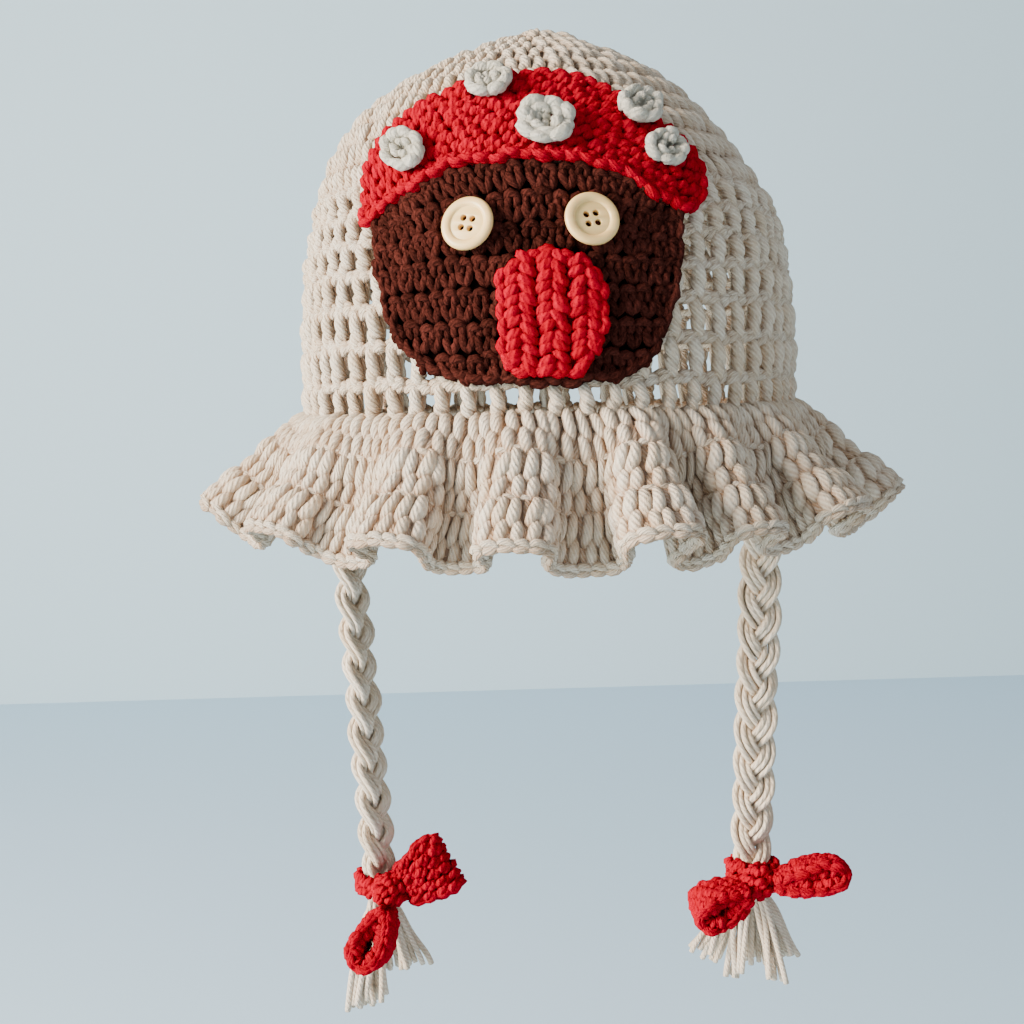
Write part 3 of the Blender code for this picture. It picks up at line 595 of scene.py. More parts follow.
# How far the rounds are drawn up towards the crown, and where the edge's chain lies, as shares of BRIM_LENGTH
ROUNDS_UP = 0.02
EDGE_SHARE = 0.985
FOLDS = (
    # crest, height, overhang
    (-8, 0.75, 0.9),
    (16, 1.25, 1.25),
    (31, 0.75, 1.0),
    (50, 0.90, 1.1),
    (75, 0.75, 0.9),
    (101, 0.85, 0.8),
    (126, 1.00, 1.0),
    (151, 1.10, 1.0),
    (176, 0.95, 0.9),
    (202, 1.05, 1.0),
    (227, 1.10, 0.9),
    (252, 0.95, 0.8),
    (280, 0.85, 0.7),
    (308, 0.60, 0.6),
    (333, 0.85, 1.1),
)
BRIM_STITCH = (
    (
        (0.7, 8.7, -0.8, 1.2), (0.9, 6.7, 0.8, 1.75), (0.5, 3.8, 1.4, 2.05),
        (-0.3, 0.8, 1.2, 1.95), (-1.0, -1.8, -0.1, 1.3),
    ),
    (
        (1.3, 1.6, -0.6, 1.0), (1.1, -0.8, 0.6, 1.55), (0.9, -3.5, 1.1, 1.85),
        (0.5, -6.2, 0.6, 1.7), (0.2, -8.4, -0.6, 1.2),
    ),
    (
        (-1.4, 0.0, -0.9, 0.8), (-1.9, -2.0, -0.2, 1.15), (-1.8, -4.6, 0.2, 1.3),
        (-1.4, -7.0, 0.0, 1.2), (-1.0, -8.6, -0.7, 0.9),
    ),
)
BRIM_BACK = (
    ((-2.0, 8.0, -0.5, 1.6), (-1.7, 3.4, -0.7, 2.2), (-0.5, -2.0, -0.9, 2.1), (0.4, -7.8, -0.6, 1.5)),
)
BRIM_LINK = (
    ((-2.9, -0.4, -0.7, 0.9), (-1.0, 0.5, 0.3, 1.35), (1.2, 0.2, 0.3, 1.35), (3.0, -0.6, -0.7, 0.9)),
    ((-2.9, 0.6, -0.9, 0.9), (-0.8, 0.8, -1.4, 1.2), (1.2, 0.4, -1.4, 1.2), (3.0, 0.4, -0.9, 0.9)),
)
RIM_LINK = (
    ((-2.9, -0.2, 0.5, 0.8), (-0.6, 0.5, 1.4, 1.3), (1.6, -0.1, 1.1, 1.15), (3.1, -0.9, 0.2, 0.8)),
    ((-2.9, -0.9, -0.1, 0.8), (-0.4, -1.6, 0.1, 1.3), (1.8, -1.1, -0.2, 1.15), (3.1, -0.4, 0.1, 0.8)),
    ((-2.9, -0.2, -0.5, 0.8), (-0.2, 0.3, -1.3, 1.25), (2.0, -0.2, -1.1, 1.1), (3.1, -0.9, -0.3, 0.8)),
)


def fold_at(angle):
    """The brim's lift at an angle, as a share of FOLD_HEIGHT, and its sideways shift, in radians."""
    table = np.array(FOLDS + ((FOLDS[0][0] + 360, *FOLDS[0][1:]),))
    crests = np.radians(table[:, 0])
    turn = crests[0] + (angle - crests[0]) % math.tau
    number = np.clip(np.searchsorted(crests, turn, side="right") - 1, 0, len(FOLDS) - 1)
    width = crests[number + 1] - crests[number]
    phase = (turn - crests[number]) / width
    blend = (1 - np.cos(np.pi * phase)) / 2
    height, over = (table[number, k] + (table[number + 1, k] - table[number, k]) * blend for k in (1, 2))
    return height * np.cos(2 * np.pi * phase), over * width * FOLD_OVERHANG * np.sin(4 * np.pi * phase)


def mid_brim(angle, share):
    """The middle of the brim's wall, at angles and at shares of its length from the crown's lower edge."""
    lift, shift = fold_at(angle)
    facing = np.cos(angle)
    far = np.where(facing > 0, BRIM_SLOPE_FRONT, BRIM_SLOPE_BACK)
    slope = (BRIM_SLOPE_SIDE + (far - BRIM_SLOPE_SIDE) * facing**2) * np.minimum(1, BRIM_ROOT_SLOPE + share)
    grow = np.maximum(share, 0) ** FOLD_START
    turned = angle + shift * grow
    out = np.cos(slope) * BRIM_LENGTH * share + np.sin(slope) * lift * FOLD_HEIGHT * grow
    up = -np.sin(slope) * BRIM_LENGTH * share + np.cos(slope) * lift * FOLD_HEIGHT * grow
    radius = HEAD_RADIUS + CROWN_WALL / 2 + out
    return np.stack([np.sin(turned) * radius, -np.cos(turned) * radius, RIM_Z + up], axis=-1)


def on_brim(angle, share, above):
    """Places over the brim's middle; above is counted towards its upper face."""
    step = 1e-3
    along = mid_brim(angle, share + step) - mid_brim(angle, share - step)
    round_it = mid_brim(angle + step, share) - mid_brim(angle - step, share)
    normal = np.cross(along, round_it)
    normal /= np.linalg.norm(normal, axis=-1)[..., None]
    return mid_brim(angle, share) + normal * above[..., None]


def brim_job(pattern, share, spacing):
    """A round of stitches at even distances along the folded brim; the lengths run on past its ends."""
    angles = np.linspace(-math.pi, 2 * math.tau - math.pi, 6001)
    lengths = lengths_along(mid_brim(angles, np.full(angles.shape, share)))
    whole = lengths[-1] / 2
    count = round(whole / spacing)
    gap = whole / count
    cells = [((n + 0.5) * gap + whole / 4, share, gap / spacing, -1 / BRIM_LENGTH, 0) for n in range(count)]
    return pattern, cells, lambda along, up, above: on_brim(np.interp(along, lengths, angles), up, above)


brim_stitch = stitch((BRIM_STITCH[:2], 8, 8), (BRIM_STITCH[2:], 6, 5), (BRIM_BACK, 6, 5))
brim_link = stitch((BRIM_LINK, 6, 4))
rim_link = stitch((RIM_LINK, 6, 5))
brim_jobs = [
    brim_job(pattern, (number + 0.5) / BRIM_ROUNDS - ROUNDS_UP, BRIM_SPACING)
    for number, pattern in enumerate((mirrored(brim_stitch, (-1, 1, 1)), brim_stitch, brim_stitch))
]
brim = work("brim_stitches", brim_jobs, ivory_yarn, seed=31, loose=1.3, shaded_depth=0.0028, reach=0.85)
edge_jobs = [
    brim_job(brim_link, number / BRIM_ROUNDS - ROUNDS_UP, BRIM_LINK_SPACING)
    for number in range(1, BRIM_ROUNDS)
]
edge_jobs.append(brim_job(rim_link, EDGE_SHARE, BRIM_LINK_SPACING))
brim_edge = work("brim_edge", edge_jobs, ivory_yarn, seed=32)
around = np.linspace(0, math.tau, 241)
shares = np.linspace(0.01, 0.96, 9)
brim_middle = inner_layer("brim_middle", [mid_brim(around, np.full(241, share)) for share in shares], shade)
for piece in (brim, brim_edge, brim_middle):
    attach(piece, "root")
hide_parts("brim")


# House front: a flat piece of dark brown yarn in fourteen rows of single crochet, worked to and fro, so that
# every second row shows its back. A chain runs round its edge. It is sewn on the crown.
SEAT = 0.0006
HOUSE_SIDE = -0.009
HOUSE_FOOT = 0.0105
HOUSE_WIDTH = 0.097
HOUSE_HEIGHT = 0.0675
HOUSE_THICK = 0.0034
HOUSE_ROWS = 14
HOUSE_SPACING = 0.0049
HOUSE_BASE = 0.0009
HOUSE_CHAIN_SPACING = 0.0047
HOUSE_CHAIN_LIFT = 0.0009
# Where the middle of a front row and of a back row lies in it, as a share of its height
ROW_MIDDLES = (0.56, 0.44)
# How far the rows stay inside the lower and the upper edge
ROWS_OVER_FOOT = 0.0008
ROWS_UNDER_TOP = 0.0010
HOUSE = (
    # across, lower edge, upper edge
    (-1.00, 0.65, 0.750),
    (-0.97, 0.53, 0.765),
    (-0.92, 0.34, 0.790),
    (-0.82, 0.21, 0.830),
    (-0.64, 0.09, 0.900),
    (-0.38, 0.02, 0.970),
    (0.00, 0.00, 1.000),
    (0.32, 0.00, 0.985),
    (0.58, 0.02, 0.935),
    (0.73, 0.07, 0.860),
    (0.86, 0.20, 0.800),
    (0.95, 0.39, 0.770),
    (1.00, 0.61, 0.745),
)
SINGLE_FRONT = (
    ((0.2, -2.8, 0.2, 0.9), (-0.9, -1.0, 1.3, 1.4), (-1.6, 0.9, 1.3, 1.4), (-1.9, 2.6, 0.2, 0.9)),
    ((0.0, -2.6, 0.3, 0.9), (1.1, -0.8, 1.5, 1.4), (1.6, 1.0, 1.1, 1.3), (1.5, 2.7, 0.1, 0.9)),
)
SINGLE_BACK = (
    ((-2.6, 0.2, 0.4, 1.0), (-1.0, 1.4, 1.4, 1.45), (0.8, 1.2, 1.5, 1.45), (2.3, 0.0, 0.4, 1.0)),
    ((-1.0, -2.8, 0.2, 0.9), (-1.3, -1.2, 1.0, 1.35), (-0.6, 0.6, 0.8, 1.0)),
    ((0.9, -2.7, 0.2, 0.9), (1.4, -1.0, 1.1, 1.35), (1.5, 0.9, 0.6, 1.0)),
)
EDGE_LINK = (
    ((-3.0, -1.4, 0.2, 0.8), (-0.8, -0.4, 1.3, 1.15), (1.4, -0.7, 1.0, 1.1), (3.0, -1.6, 0.2, 0.8)),
    ((-3.0, -0.7, -0.2, 0.8), (-0.6, -0.1, 0.0, 1.1), (1.6, -0.2, -0.2, 1.0), (3.0, -0.8, -0.2, 0.8)),
)


def on_front(side, run, above):
    """Places on the crown's front, sideways from its middle."""
    return on_crown(side / np.interp(run, RUN, OUT_RADIUS), run, above)


def lift_off(base):
    """What lays stitches on the crown's front, a fixed height over its surface."""
    return lambda along, up, above: on_front(along, up, above + base)


def read_off(table, at, column):
    """Values of a table's column at places along its first one."""
    table = np.array(table)
    return np.interp(at, table[:, 0], table[:, column])


def row_cells(side, run, spacing, tall, start=0.5, keep=None):
    """Cells at even distances along a row's path, each turned with it."""
    lengths = lengths_along(np.stack([side, run], axis=1))
    count = max(1, round((lengths[-1] - 2 * start * spacing) / spacing) + 1)
    gap = (lengths[-1] - 2 * start * spacing) / max(1, count - 1)
    cells = []
    for place in np.arange(count) * gap + start * spacing:
        x, y = np.interp(place, lengths, side), np.interp(place, lengths, run)
        ends = place + spacing / 2 * np.array((-1, 1))
        (left, right), (low, high) = (np.interp(ends, lengths, part) for part in (side, run))
        if keep is None or keep(x, y):
            cells.append((x, y, gap / spacing, tall, math.atan2(high - low, right - left)))
    return cells


def backing(name, low, high, base, finish):
    """The flat middle of a patch behind its stitches, which closes the holes between them, painted dark as
    shade.
    """
    low, high = np.array(low)[1:-1], np.array(high)[1:-1]
    rows = [on_front(*(low + (high - low) * share).T, base) for share in np.linspace(0.005, 0.995, 8)]
    return inner_layer(name, rows, finish)


# Brown acrylic: matt, with painted shade that turns it almost black in its folds, and a reddish bloom of
# fuzz that is partly its own tone and partly painted highlight. It has little sheen, which would turn it
# pale.
brown_yarn = yarn_finish(
    "brown acrylic yarn, single crochet", "#26100B", "#070303", "#643028", 1.2, sheen=0.1
)
single_front = stitch((SINGLE_FRONT, 6, 6))
single_back = stitch((SINGLE_BACK, 6, 5))
edge_link = stitch((EDGE_LINK, 6, 6))

across = np.linspace(-1, 1, 81)
house_low, house_high = (HOUSE_FOOT + HOUSE_HEIGHT * read_off(HOUSE, across, column) for column in (1, 2))
house_side = HOUSE_SIDE + across * HOUSE_WIDTH / 2


def inside_house(x, y):
    """Whether a stitch of the rows lies inside the house's edge."""
    low, high = (np.interp(x, house_side, edge) for edge in (house_low, house_high))
    return low + ROWS_OVER_FOOT < y < high - ROWS_UNDER_TOP


fronts, backs = [], []
for row in range(HOUSE_ROWS):
    odd = row % 2
    share = (row + ROW_MIDDLES[odd]) / HOUSE_ROWS
    arch = 1 + ((house_high - HOUSE_FOOT) / HOUSE_HEIGHT - 1) * share**2
    run = HOUSE_FOOT + HOUSE_HEIGHT * share * arch
    cells = row_cells(house_side, run, HOUSE_SPACING, 1, start=0.35 + 0.3 * odd, keep=inside_house)
    (backs if odd else fronts).extend(cells)
chain_side = np.concatenate([house_side[-1:], house_side[::-1], house_side[:1]])
chain_run = np.concatenate([house_high[-1:], house_low[::-1], house_high[:1]])
chain = row_cells(chain_side, chain_run, HOUSE_CHAIN_SPACING, 1.25, start=0.2)
house_jobs = [
    (single_front, fronts, lift_off(SEAT + HOUSE_BASE)),
    (single_back, backs, lift_off(SEAT + HOUSE_BASE)),
    (edge_link, chain, lift_off(SEAT + HOUSE_BASE + HOUSE_CHAIN_LIFT)),
]
house = work("house_stitches", house_jobs, brown_yarn, seed=41, loose=1.4, shaded_depth=0.0010, woolly=0.00016)
house_edges = (np.stack([house_side, edge], axis=1) for edge in (house_low, house_high))
house_middle = backing("house_middle", *house_edges, SEAT + HOUSE_BASE, brown_yarn)
for piece in (house, house_middle):
    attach(piece, "root")
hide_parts("house_wall")


# Toadstool cap: a flat piece of bright red yarn, crocheted in rows along its lower edge, with a chain below
# and a scalloped upper edge. It is sewn on above the house.
CAP_REACH = 1.06
CAP_RISE = 0.035
CAP_THICK = 0.0042
CAP_SEAM = 0.0007
CAP_ROWS = 8
CAP_ROW = 0.0041
FIRST_ROW = 0.62
KNOB_SPACING = 0.0042
KNOBS_UNDER_TOP = 0.0016
PUFF_SPACING = 0.0052
PUFFS_UNDER_TOP = 0.0012
CHAIN_DROP = 0.0002
# How far the knobs, the puffs, the chain and the backing stand off the crown, past the seat
KNOB_LIFT = 0.0011
PUFF_LIFT = 0.0012
CHAIN_LIFT = 0.0032
CAP_BACK_LIFT = 0.0015
CAP = (
    # foot, rise, lean
    (-1.06, 0.08, -0.05),
    (-1.00, 0.26, -0.12),
    (-0.90, 0.43, -0.15),
    (-0.75, 0.55, -0.19),
    (-0.58, 0.67, -0.20),
    (-0.40, 0.75, -0.16),
    (-0.20, 0.88, -0.09),
    (0.00, 0.98, 0.00),
    (0.20, 0.99, 0.06),
    (0.40, 0.96, 0.10),
    (0.58, 0.89, 0.11),
    (0.75, 0.84, 0.13),
    (0.90, 0.74, 0.21),
    (0.99, 0.60, 0.30),
    (1.03, 0.38, 0.31),
    (1.06, 0.16, 0.18),
)
KNOB = (
    ((-2.3, -1.2, 0.2, 1.0), (-0.9, -0.1, 1.5, 1.6), (0.6, 0.9, 1.3, 1.5), (1.6, 2.0, 0.1, 0.9)),
    ((-0.4, -2.4, 0.1, 0.9), (0.9, -1.3, 1.2, 1.5), (1.9, 0.0, 1.0, 1.35), (2.4, 1.4, 0.1, 0.9)),
)
SCALLOP = (
    (
        (-3.0, -0.8, 0.2, 1.0), (-1.4, 0.4, 1.3, 1.45), (0.4, 0.7, 1.6, 1.55),
        (2.0, 0.1, 1.1, 1.4), (3.0, -0.8, 0.2, 1.0),
    ),
    ((-2.2, -0.4, -0.4, 0.8), (-0.8, 1.2, -0.1, 1.2), (1.0, 1.2, -0.1, 1.2), (2.2, -0.4, -0.4, 0.8)),
)


def cap_place(station, share):
    """The side and the run of a place on the cap, at a share of its rise."""
    rise, lean = (read_off(CAP, station, column) * CAP_RISE * share for column in (1, 2))
    side = HOUSE_SIDE + station * HOUSE_WIDTH / 2 + lean
    run = HOUSE_FOOT + HOUSE_HEIGHT * read_off(HOUSE, station, 2) + CAP_SEAM + rise
    return side, run


# Red acrylic: matt and deep, without the sheen and the gloss that would turn it pink
red_yarn = yarn_finish("red acrylic yarn, crocheted", "#AE001A", "#7E0010", "#C8002C", 1.2, sheen=0.02)
knob = stitch((KNOB, 6, 6))
scallop = stitch((SCALLOP, 8, 6))
link_below = mirrored(edge_link, (1, -1, 1))

stations = np.linspace(-CAP_REACH, CAP_REACH, 121)
cap_rise = read_off(CAP, stations, 1) * CAP_RISE
knobs = []
for row in range(CAP_ROWS):
    share = (row + FIRST_ROW) * CAP_ROW / cap_rise
    room = share < 1 - KNOBS_UNDER_TOP / cap_rise
    for part in np.split(np.arange(len(stations)), np.flatnonzero(np.diff(room)) + 1):
        if room[part[0]] and len(part) > 3:
            path = cap_place(stations[part], share[part])
            knobs += row_cells(*path, KNOB_SPACING, 1, start=0.2 + 0.3 * (row % 2))
foot_side, foot_run = cap_place(stations, 0.0)
puffs = row_cells(*cap_place(stations, 1 - PUFFS_UNDER_TOP / cap_rise), PUFF_SPACING, 1, start=0.2)
chain = row_cells(foot_side, foot_run - CHAIN_DROP, KNOB_SPACING, 1.2, start=0.2)
cap_jobs = [
    (knob, knobs, lift_off(SEAT + KNOB_LIFT)),
    (scallop, puffs, lift_off(SEAT + PUFF_LIFT)),
    (link_below, chain, lift_off(SEAT + CHAIN_LIFT)),
]
cap = work("cap_stitches", cap_jobs, red_yarn, seed=51, loose=1.3, shaded_depth=0.0011, reach=0.5, woolly=0.00016)
cap_edges = (np.stack(cap_place(stations, share), axis=1) for share in (0.0, 1.0))
cap_middle = backing("cap_middle", *cap_edges, SEAT + CAP_BACK_LIFT, red_yarn)
for piece in (cap, cap_middle):
    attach(piece, "root")
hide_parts("toadstool_cap")


# Door: a flat piece of the same red yarn, worked sideways, so that six upright rows of slanting stitches pair
# up in ribs. Puffed stitches run round it. It is sewn on the house.
DOOR_WIDTH = 0.030
DOOR_HEIGHT = 0.038
DOOR_SIDE = -0.0006
DOOR_FOOT = 0.012
DOOR_COLUMNS = 6
DOOR_GRAIN_SPACING = 0.0029
DOOR_PUFF_SPACING = 0.0050
# How far the rows stay inside the door's ends and sides, how much nearer each pair of rows lies, and how far
# inside its outline the puffs are worked, as a share of its size
DOOR_MARGIN = 0.001
DOOR_ROWS_WIDTH = 0.92
DOOR_ROWS_ENDS = 0.94
PAIR_NEARER = 0.0004
DOOR_INSET = 0.09
GRAIN_LIFT = 0.0008
DOOR_PUFF_LIFT = 0.0006
DOOR = (
    # across, lower edge, upper edge
    (-1.00, 0.14, 0.80),
    (-0.87, 0.05, 0.87),
    (-0.55, 0.01, 0.95),
    (-0.10, 0.00, 1.00),
    (0.50, 0.04, 0.93),
    (0.83, 0.20, 0.82),
    (1.00, 0.42, 0.68),
)
GRAIN = (((-2.2, -1.7, 0.2, 1.1), (-1.1, -0.8, 1.2, 1.65), (0.6, 0.6, 1.5, 1.7), (2.0, 1.6, 0.3, 1.1)),)

grain = stitch((GRAIN, 10, 9))
across = np.linspace(-1, 1, 41)
door_low, door_high = (DOOR_FOOT + DOOR_HEIGHT * read_off(DOOR, across, column) for column in (1, 2))
door_side = DOOR_SIDE + across * DOOR_WIDTH / 2
grains = {1: [], -1: []}
for column in range(DOOR_COLUMNS):
    station = (2 * column + 1) / DOOR_COLUMNS - 1
    way = -1 if column % 2 else 1
    side = DOOR_SIDE + station * DOOR_WIDTH / 2 * DOOR_ROWS_WIDTH + way * PAIR_NEARER
    low, high = (np.interp(station * DOOR_ROWS_ENDS, across, edge) for edge in (door_low, door_high))
    length = high - low - 2 * DOOR_MARGIN
    count = round(length / DOOR_GRAIN_SPACING)
    for place in range(count):
        grains[way].append((side, low + DOOR_MARGIN + (place + 0.5) * length / count, 1, 1, 0))
door_base = 2 * SEAT + HOUSE_THICK
# The outline runs along the upper edge and back along the lower one
outline_side = np.concatenate([door_side, door_side[::-1]])
outline_run = np.concatenate([door_high, door_low[::-1]])
outline_side += (outline_side.mean() - outline_side) * DOOR_INSET
outline_run += (outline_run.mean() - outline_run) * DOOR_INSET
rim = (np.append(part, part[0]) for part in (outline_side, outline_run))
puffs = row_cells(*rim, DOOR_PUFF_SPACING, 1, start=0)[:-1]
door_jobs = [
    (grain, grains[1], lift_off(door_base + GRAIN_LIFT)),
    (mirrored(grain, (-1, 1, 1)), grains[-1], lift_off(door_base + GRAIN_LIFT)),
    (scallop, puffs, lift_off(door_base + DOOR_PUFF_LIFT)),
]
door = work("door_stitches", door_jobs, red_yarn, seed=61, loose=1.3, shaded_depth=0.0010, woolly=0.00016)
door_edges = (np.stack([door_side, edge], axis=1) for edge in (door_low, door_high))
door_middle = backing("door_middle", *door_edges, door_base + DOOR_PUFF_LIFT, red_yarn)
for piece in (door, door_middle):
    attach(piece, "root")
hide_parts("door")


# Spots: five small rounds of pale grey cotton, puffed up at their rims and sewn on the cap through their
# middles. They lie a little flattened from above.
SPOT_FLATTENED = 0.88
SPOT_SUNK = 0.0004
SPOTS = (
    # station along the cap's foot, share of its rise, size, radius of the inner ring
    (-0.60, 0.42, 0.88, 0.0029),
    (-0.07, 0.82, 0.84, 0.0029),
    (0.22, 0.31, 1.00, 0.0040),
    (0.76, 0.92, 0.85, 0.0029),
    (0.88, 0.58, 0.80, 0.0029),
)
# One lump of a spot's outer ring, one of its inner ring and one of the knot in its middle
SPOT_RIM = (((-3.2, -0.7, 0.5, 1.4), (-1.4, 0.2, 1.8, 2.0), (1.0, 0.3, 2.1, 2.1), (3.2, -0.5, 0.7, 1.4)),)
SPOT_RING = (((-2.6, -0.4, 0.8, 1.2), (-0.9, 0.3, 1.9, 1.65), (1.0, 0.2, 1.9, 1.65), (2.6, -0.5, 0.8, 1.2)),)
SPOT_KNOT = (((-1.9, -0.6, 0.3, 0.9), (-0.6, 0.3, 0.7, 1.3), (0.9, 0.3, 0.7, 1.3), (2.0, -0.5, 0.2, 0.9)),)
SPOT_RIM_RADIUS = 0.0064
SPOT_KNOT_RADIUS = 0.0012

# Grey cotton: matt and woolly, paler and cooler than the hat's ivory
grey_yarn = yarn_finish("pale grey cotton yarn, crocheted", "#CCC4AE", "#887C66", "#EDE6D6", 1.5)
lumps = [stitch((shape, 10, 9)) for shape in (SPOT_RIM, SPOT_RING, SPOT_KNOT)]
for number, (station, share, size, ring_radius) in enumerate(SPOTS, 1):
    middle = cap_place(station, share)

    def on_spot(angle, out, above):
        return on_front(
            middle[0] + np.sin(angle) * out * size,
            middle[1] + np.cos(angle) * out * size * SPOT_FLATTENED,
            2 * SEAT + CAP_THICK - SPOT_SUNK + above,
        )

    rings = ((8, SPOT_RIM_RADIUS, 0.0050), (6, ring_radius, 0.0042), (4, SPOT_KNOT_RADIUS, 0.0040))
    spot_jobs = []
    for lump, (count, out, length) in zip(lumps, rings, strict=True):
        step = math.tau / count
        cells = [(step * (place + 0.3 * count), out, step / length, 1, 0) for place in range(count)]
        spot_jobs.append((lump, cells, on_spot))
    puffed = {"loose": 2.0, "shaded_depth": 0.0008, "woolly": 0.00014}
    spot = work(f"spot_{number}_stitches", spot_jobs, grey_yarn, seed=70 + number, **puffed)
    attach(spot, "root")
    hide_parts(f"spot_{number}")


# Buttons: two turned four-hole buttons of cream plastic with a satin coat, 16.8 mm across, sewn on the house
# as its windows. Each has a broad round rim and a dished middle.
BUTTON_HOLE_DIAMETER = 0.0020
BUTTON_HOLE_SPACING = 0.0030
BUTTON_SPACING = 0.035
BUTTON_SIDE = -0.0065
BUTTON_UP = 0.0575
# The turn of each button in its own plane, and its tilts to the right and down, in degrees
BUTTON_TURNS = {"left": (-12, -6, -5), "right": (9, 5, -6)}
# The dished middle is a plate: its radius, half its thickness, the bevel of its edges and its height
PLATE_RADIUS = 0.0052
PLATE_HALF = 0.00082
PLATE_BEVEL = 0.00018
PLATE_UP = 0.0010
# The length of the handles that bend a quarter of a circle, as a share of its radius
QUARTER_HANDLE = 0.5523
GAP = 0.0003
BUTTON_SECTION = (
    # out, up, in millimetres from the middle of its back
    (4.6, 1.4),
    (4.9, 1.9),
    (5.3, 1.95),
    (5.55, 2.4),
    (5.9, 2.7),
    (6.5, 2.84),
    (7.2, 2.84),
    (7.8, 2.66),
    (8.2, 2.3),
    (8.4, 1.7),
    (8.3, 1.0),
    (7.9, 0.4),
    (7.2, 0.05),
    (4.6, 0.0),
)

# Cast plastic, turned and tumbled to a satin: a soft, broad gleam over level streaks of cream and pale
# yellow, 17 mm long and 2.4 mm high
satin = {"Roughness": 0.34, "Subsurface Weight": 0.1, "Subsurface Scale": 0.002}
cream, shader = new_finish("cream satin button", satin)
tree = cream.node_tree
place = add_node(tree, "ShaderNodeTexCoord")
streak = add_node(tree, "ShaderNodeMapping", [(0, place.outputs["Object"])], in_3=(60, 60, 420))
cloud = add_node(tree, NOISE, [(0, streak.outputs[0])], in_2=1, in_3=3, in_4=0.5)
creams = {"data_type": "RGBA", "in_6": linear("#E4B468"), "in_7": linear("#FCDA98")}
coat = add_node(tree, MIX, [(0, cloud.outputs[0])], **creams)
tree.links.new(coat.outputs[2], shader.inputs["Base Color"])

for side, way in (("left", -1), ("right", 1)):
    plate = bpy.data.curves.new("button", "CURVE")
    plate.dimensions = "2D"
    plate.fill_mode = "BOTH"
    plate.extrude = PLATE_HALF
    plate.bevel_depth = PLATE_BEVEL
    plate.bevel_resolution = 2
    plate.resolution_u = 16
    spread = BUTTON_HOLE_SPACING / 2
    hole_radius = BUTTON_HOLE_DIAMETER / 2 + PLATE_BEVEL
    circles = [(0, 0, PLATE_RADIUS)]
    circles += [(x * spread, y * spread, hole_radius) for x in (-1, 1) for y in (-1, 1)]
    for x, y, radius in circles:
        spline = plate.splines.new("BEZIER")
        spline.bezier_points.add(3)
        spline.use_cyclic_u = True
        quarters = ((1, 0), (0, 1), (-1, 0), (0, -1))
        for point, (across_x, across_y) in zip(spline.bezier_points, quarters, strict=True):
            point.co = (x + across_x * radius, y + across_y * radius, 0)
            reach = radius * QUARTER_HANDLE
            point.handle_left = (point.co[0] + across_y * reach, point.co[1] - across_x * reach, 0)
            point.handle_right = (point.co[0] - across_y * reach, point.co[1] + across_x * reach, 0)
    shape = shape_of(plate)
    bmesh.ops.translate(shape, vec=(0, 0, PLATE_UP), verts=shape.verts)
    corners = [shape.verts.new((out / 1000, 0, up / 1000)) for out, up in BUTTON_SECTION]
    edges = [shape.edges.new(pair) for pair in zip(corners, corners[1:] + corners[:1], strict=True)]
    turned = {"cent": (0, 0, 0), "axis": (0, 0, 1), "angle": math.tau, "steps": 64, "use_merge": True}
    bmesh.ops.spin(shape, geom=corners + edges, **turned)
    bmesh.ops.recalc_face_normals(shape, faces=shape.faces)
    angle = (BUTTON_SIDE + way * BUTTON_SPACING / 2) / float(np.interp(BUTTON_UP, RUN, OUT_RADIUS))
    base = HOUSE_THICK + SEAT + GAP
    foot, head = (Vector(on_crown(angle, BUTTON_UP, high)) for high in (base, base + 0.01))
    facing = (head - foot).normalized()
    level = Vector((math.cos(angle), math.sin(angle), 0))
    seated = Matrix((level, facing.cross(level), facing)).transposed().to_4x4()
    seated.translation = foot
    spin, right, down = (math.radians(degrees) for degrees in BUTTON_TURNS[side])
    tilted = Matrix.Rotation(right, 4, "Y") @ Matrix.Rotation(down, 4, "X") @ Matrix.Rotation(spin, 4, "Z")
    bmesh.ops.transform(shape, matrix=seated @ tilted, verts=shape.verts)
    mesh = bpy.data.meshes.new("button_" + side)
    shape.to_mesh(mesh)
    shape.free()
    mesh.shade_smooth()
    item = placed("button_" + side + "_turned", mesh, cream)
    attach(item, "root")
    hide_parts("button_" + side)


# Bows: on each tie's end a band of red single crochet is folded in two loops. A round knot holds their
# middle, and a narrow band binds the plait behind it, drawn tight on the gathered end.
BOW_LENGTH = 0.058
BOW_BAND_WIDTH = 0.024
BOW_BAND_THICK = 0.0038
BOW_LOOP_HEIGHT = 0.019
BOW_KNOT_DIAMETER = 0.0125
BOW_BINDING_THICK = 0.003
BOW_BINDING_HEIGHT = 0.009
BAND_PINCH = 0.6
LOOP_FULLNESS = 0.7
LOOP_PINCH = 0.12
# How much narrower the band is where a loop turns back
LOOP_END_PINCH = 0.2
BOW_SPACING = 0.0044
KNOB_WIDTH = 0.0046
# How far the band's rows and its two edges lie inside its outline
BAND_MARGIN = 0.001
BAND_EDGE_IN = 0.0002
# How tightly the binding and the knot are drawn
BINDING_TIGHT = 0.0016
BINDING_STITCHES = 12
BINDING_ROW = 0.0040
KNOT_TIGHT = 0.0020
KNOT_ROUNDS = (5, 8, 8, 5)
KNOT_ROW = 0.0042
BOW_TURNS = {"left": 20, "right": 0}
BOWS = {
    # heading and twist in degrees, length, height and band as shares
    "left": ((242, 30, 1.00, 0.88, 0.88), (24, 68, 0.90, 0.60, 1.10)),
    "right": ((203, -4, 0.94, 0.82, 0.95), (10, -8, 1.12, 0.72, 0.95)),
}


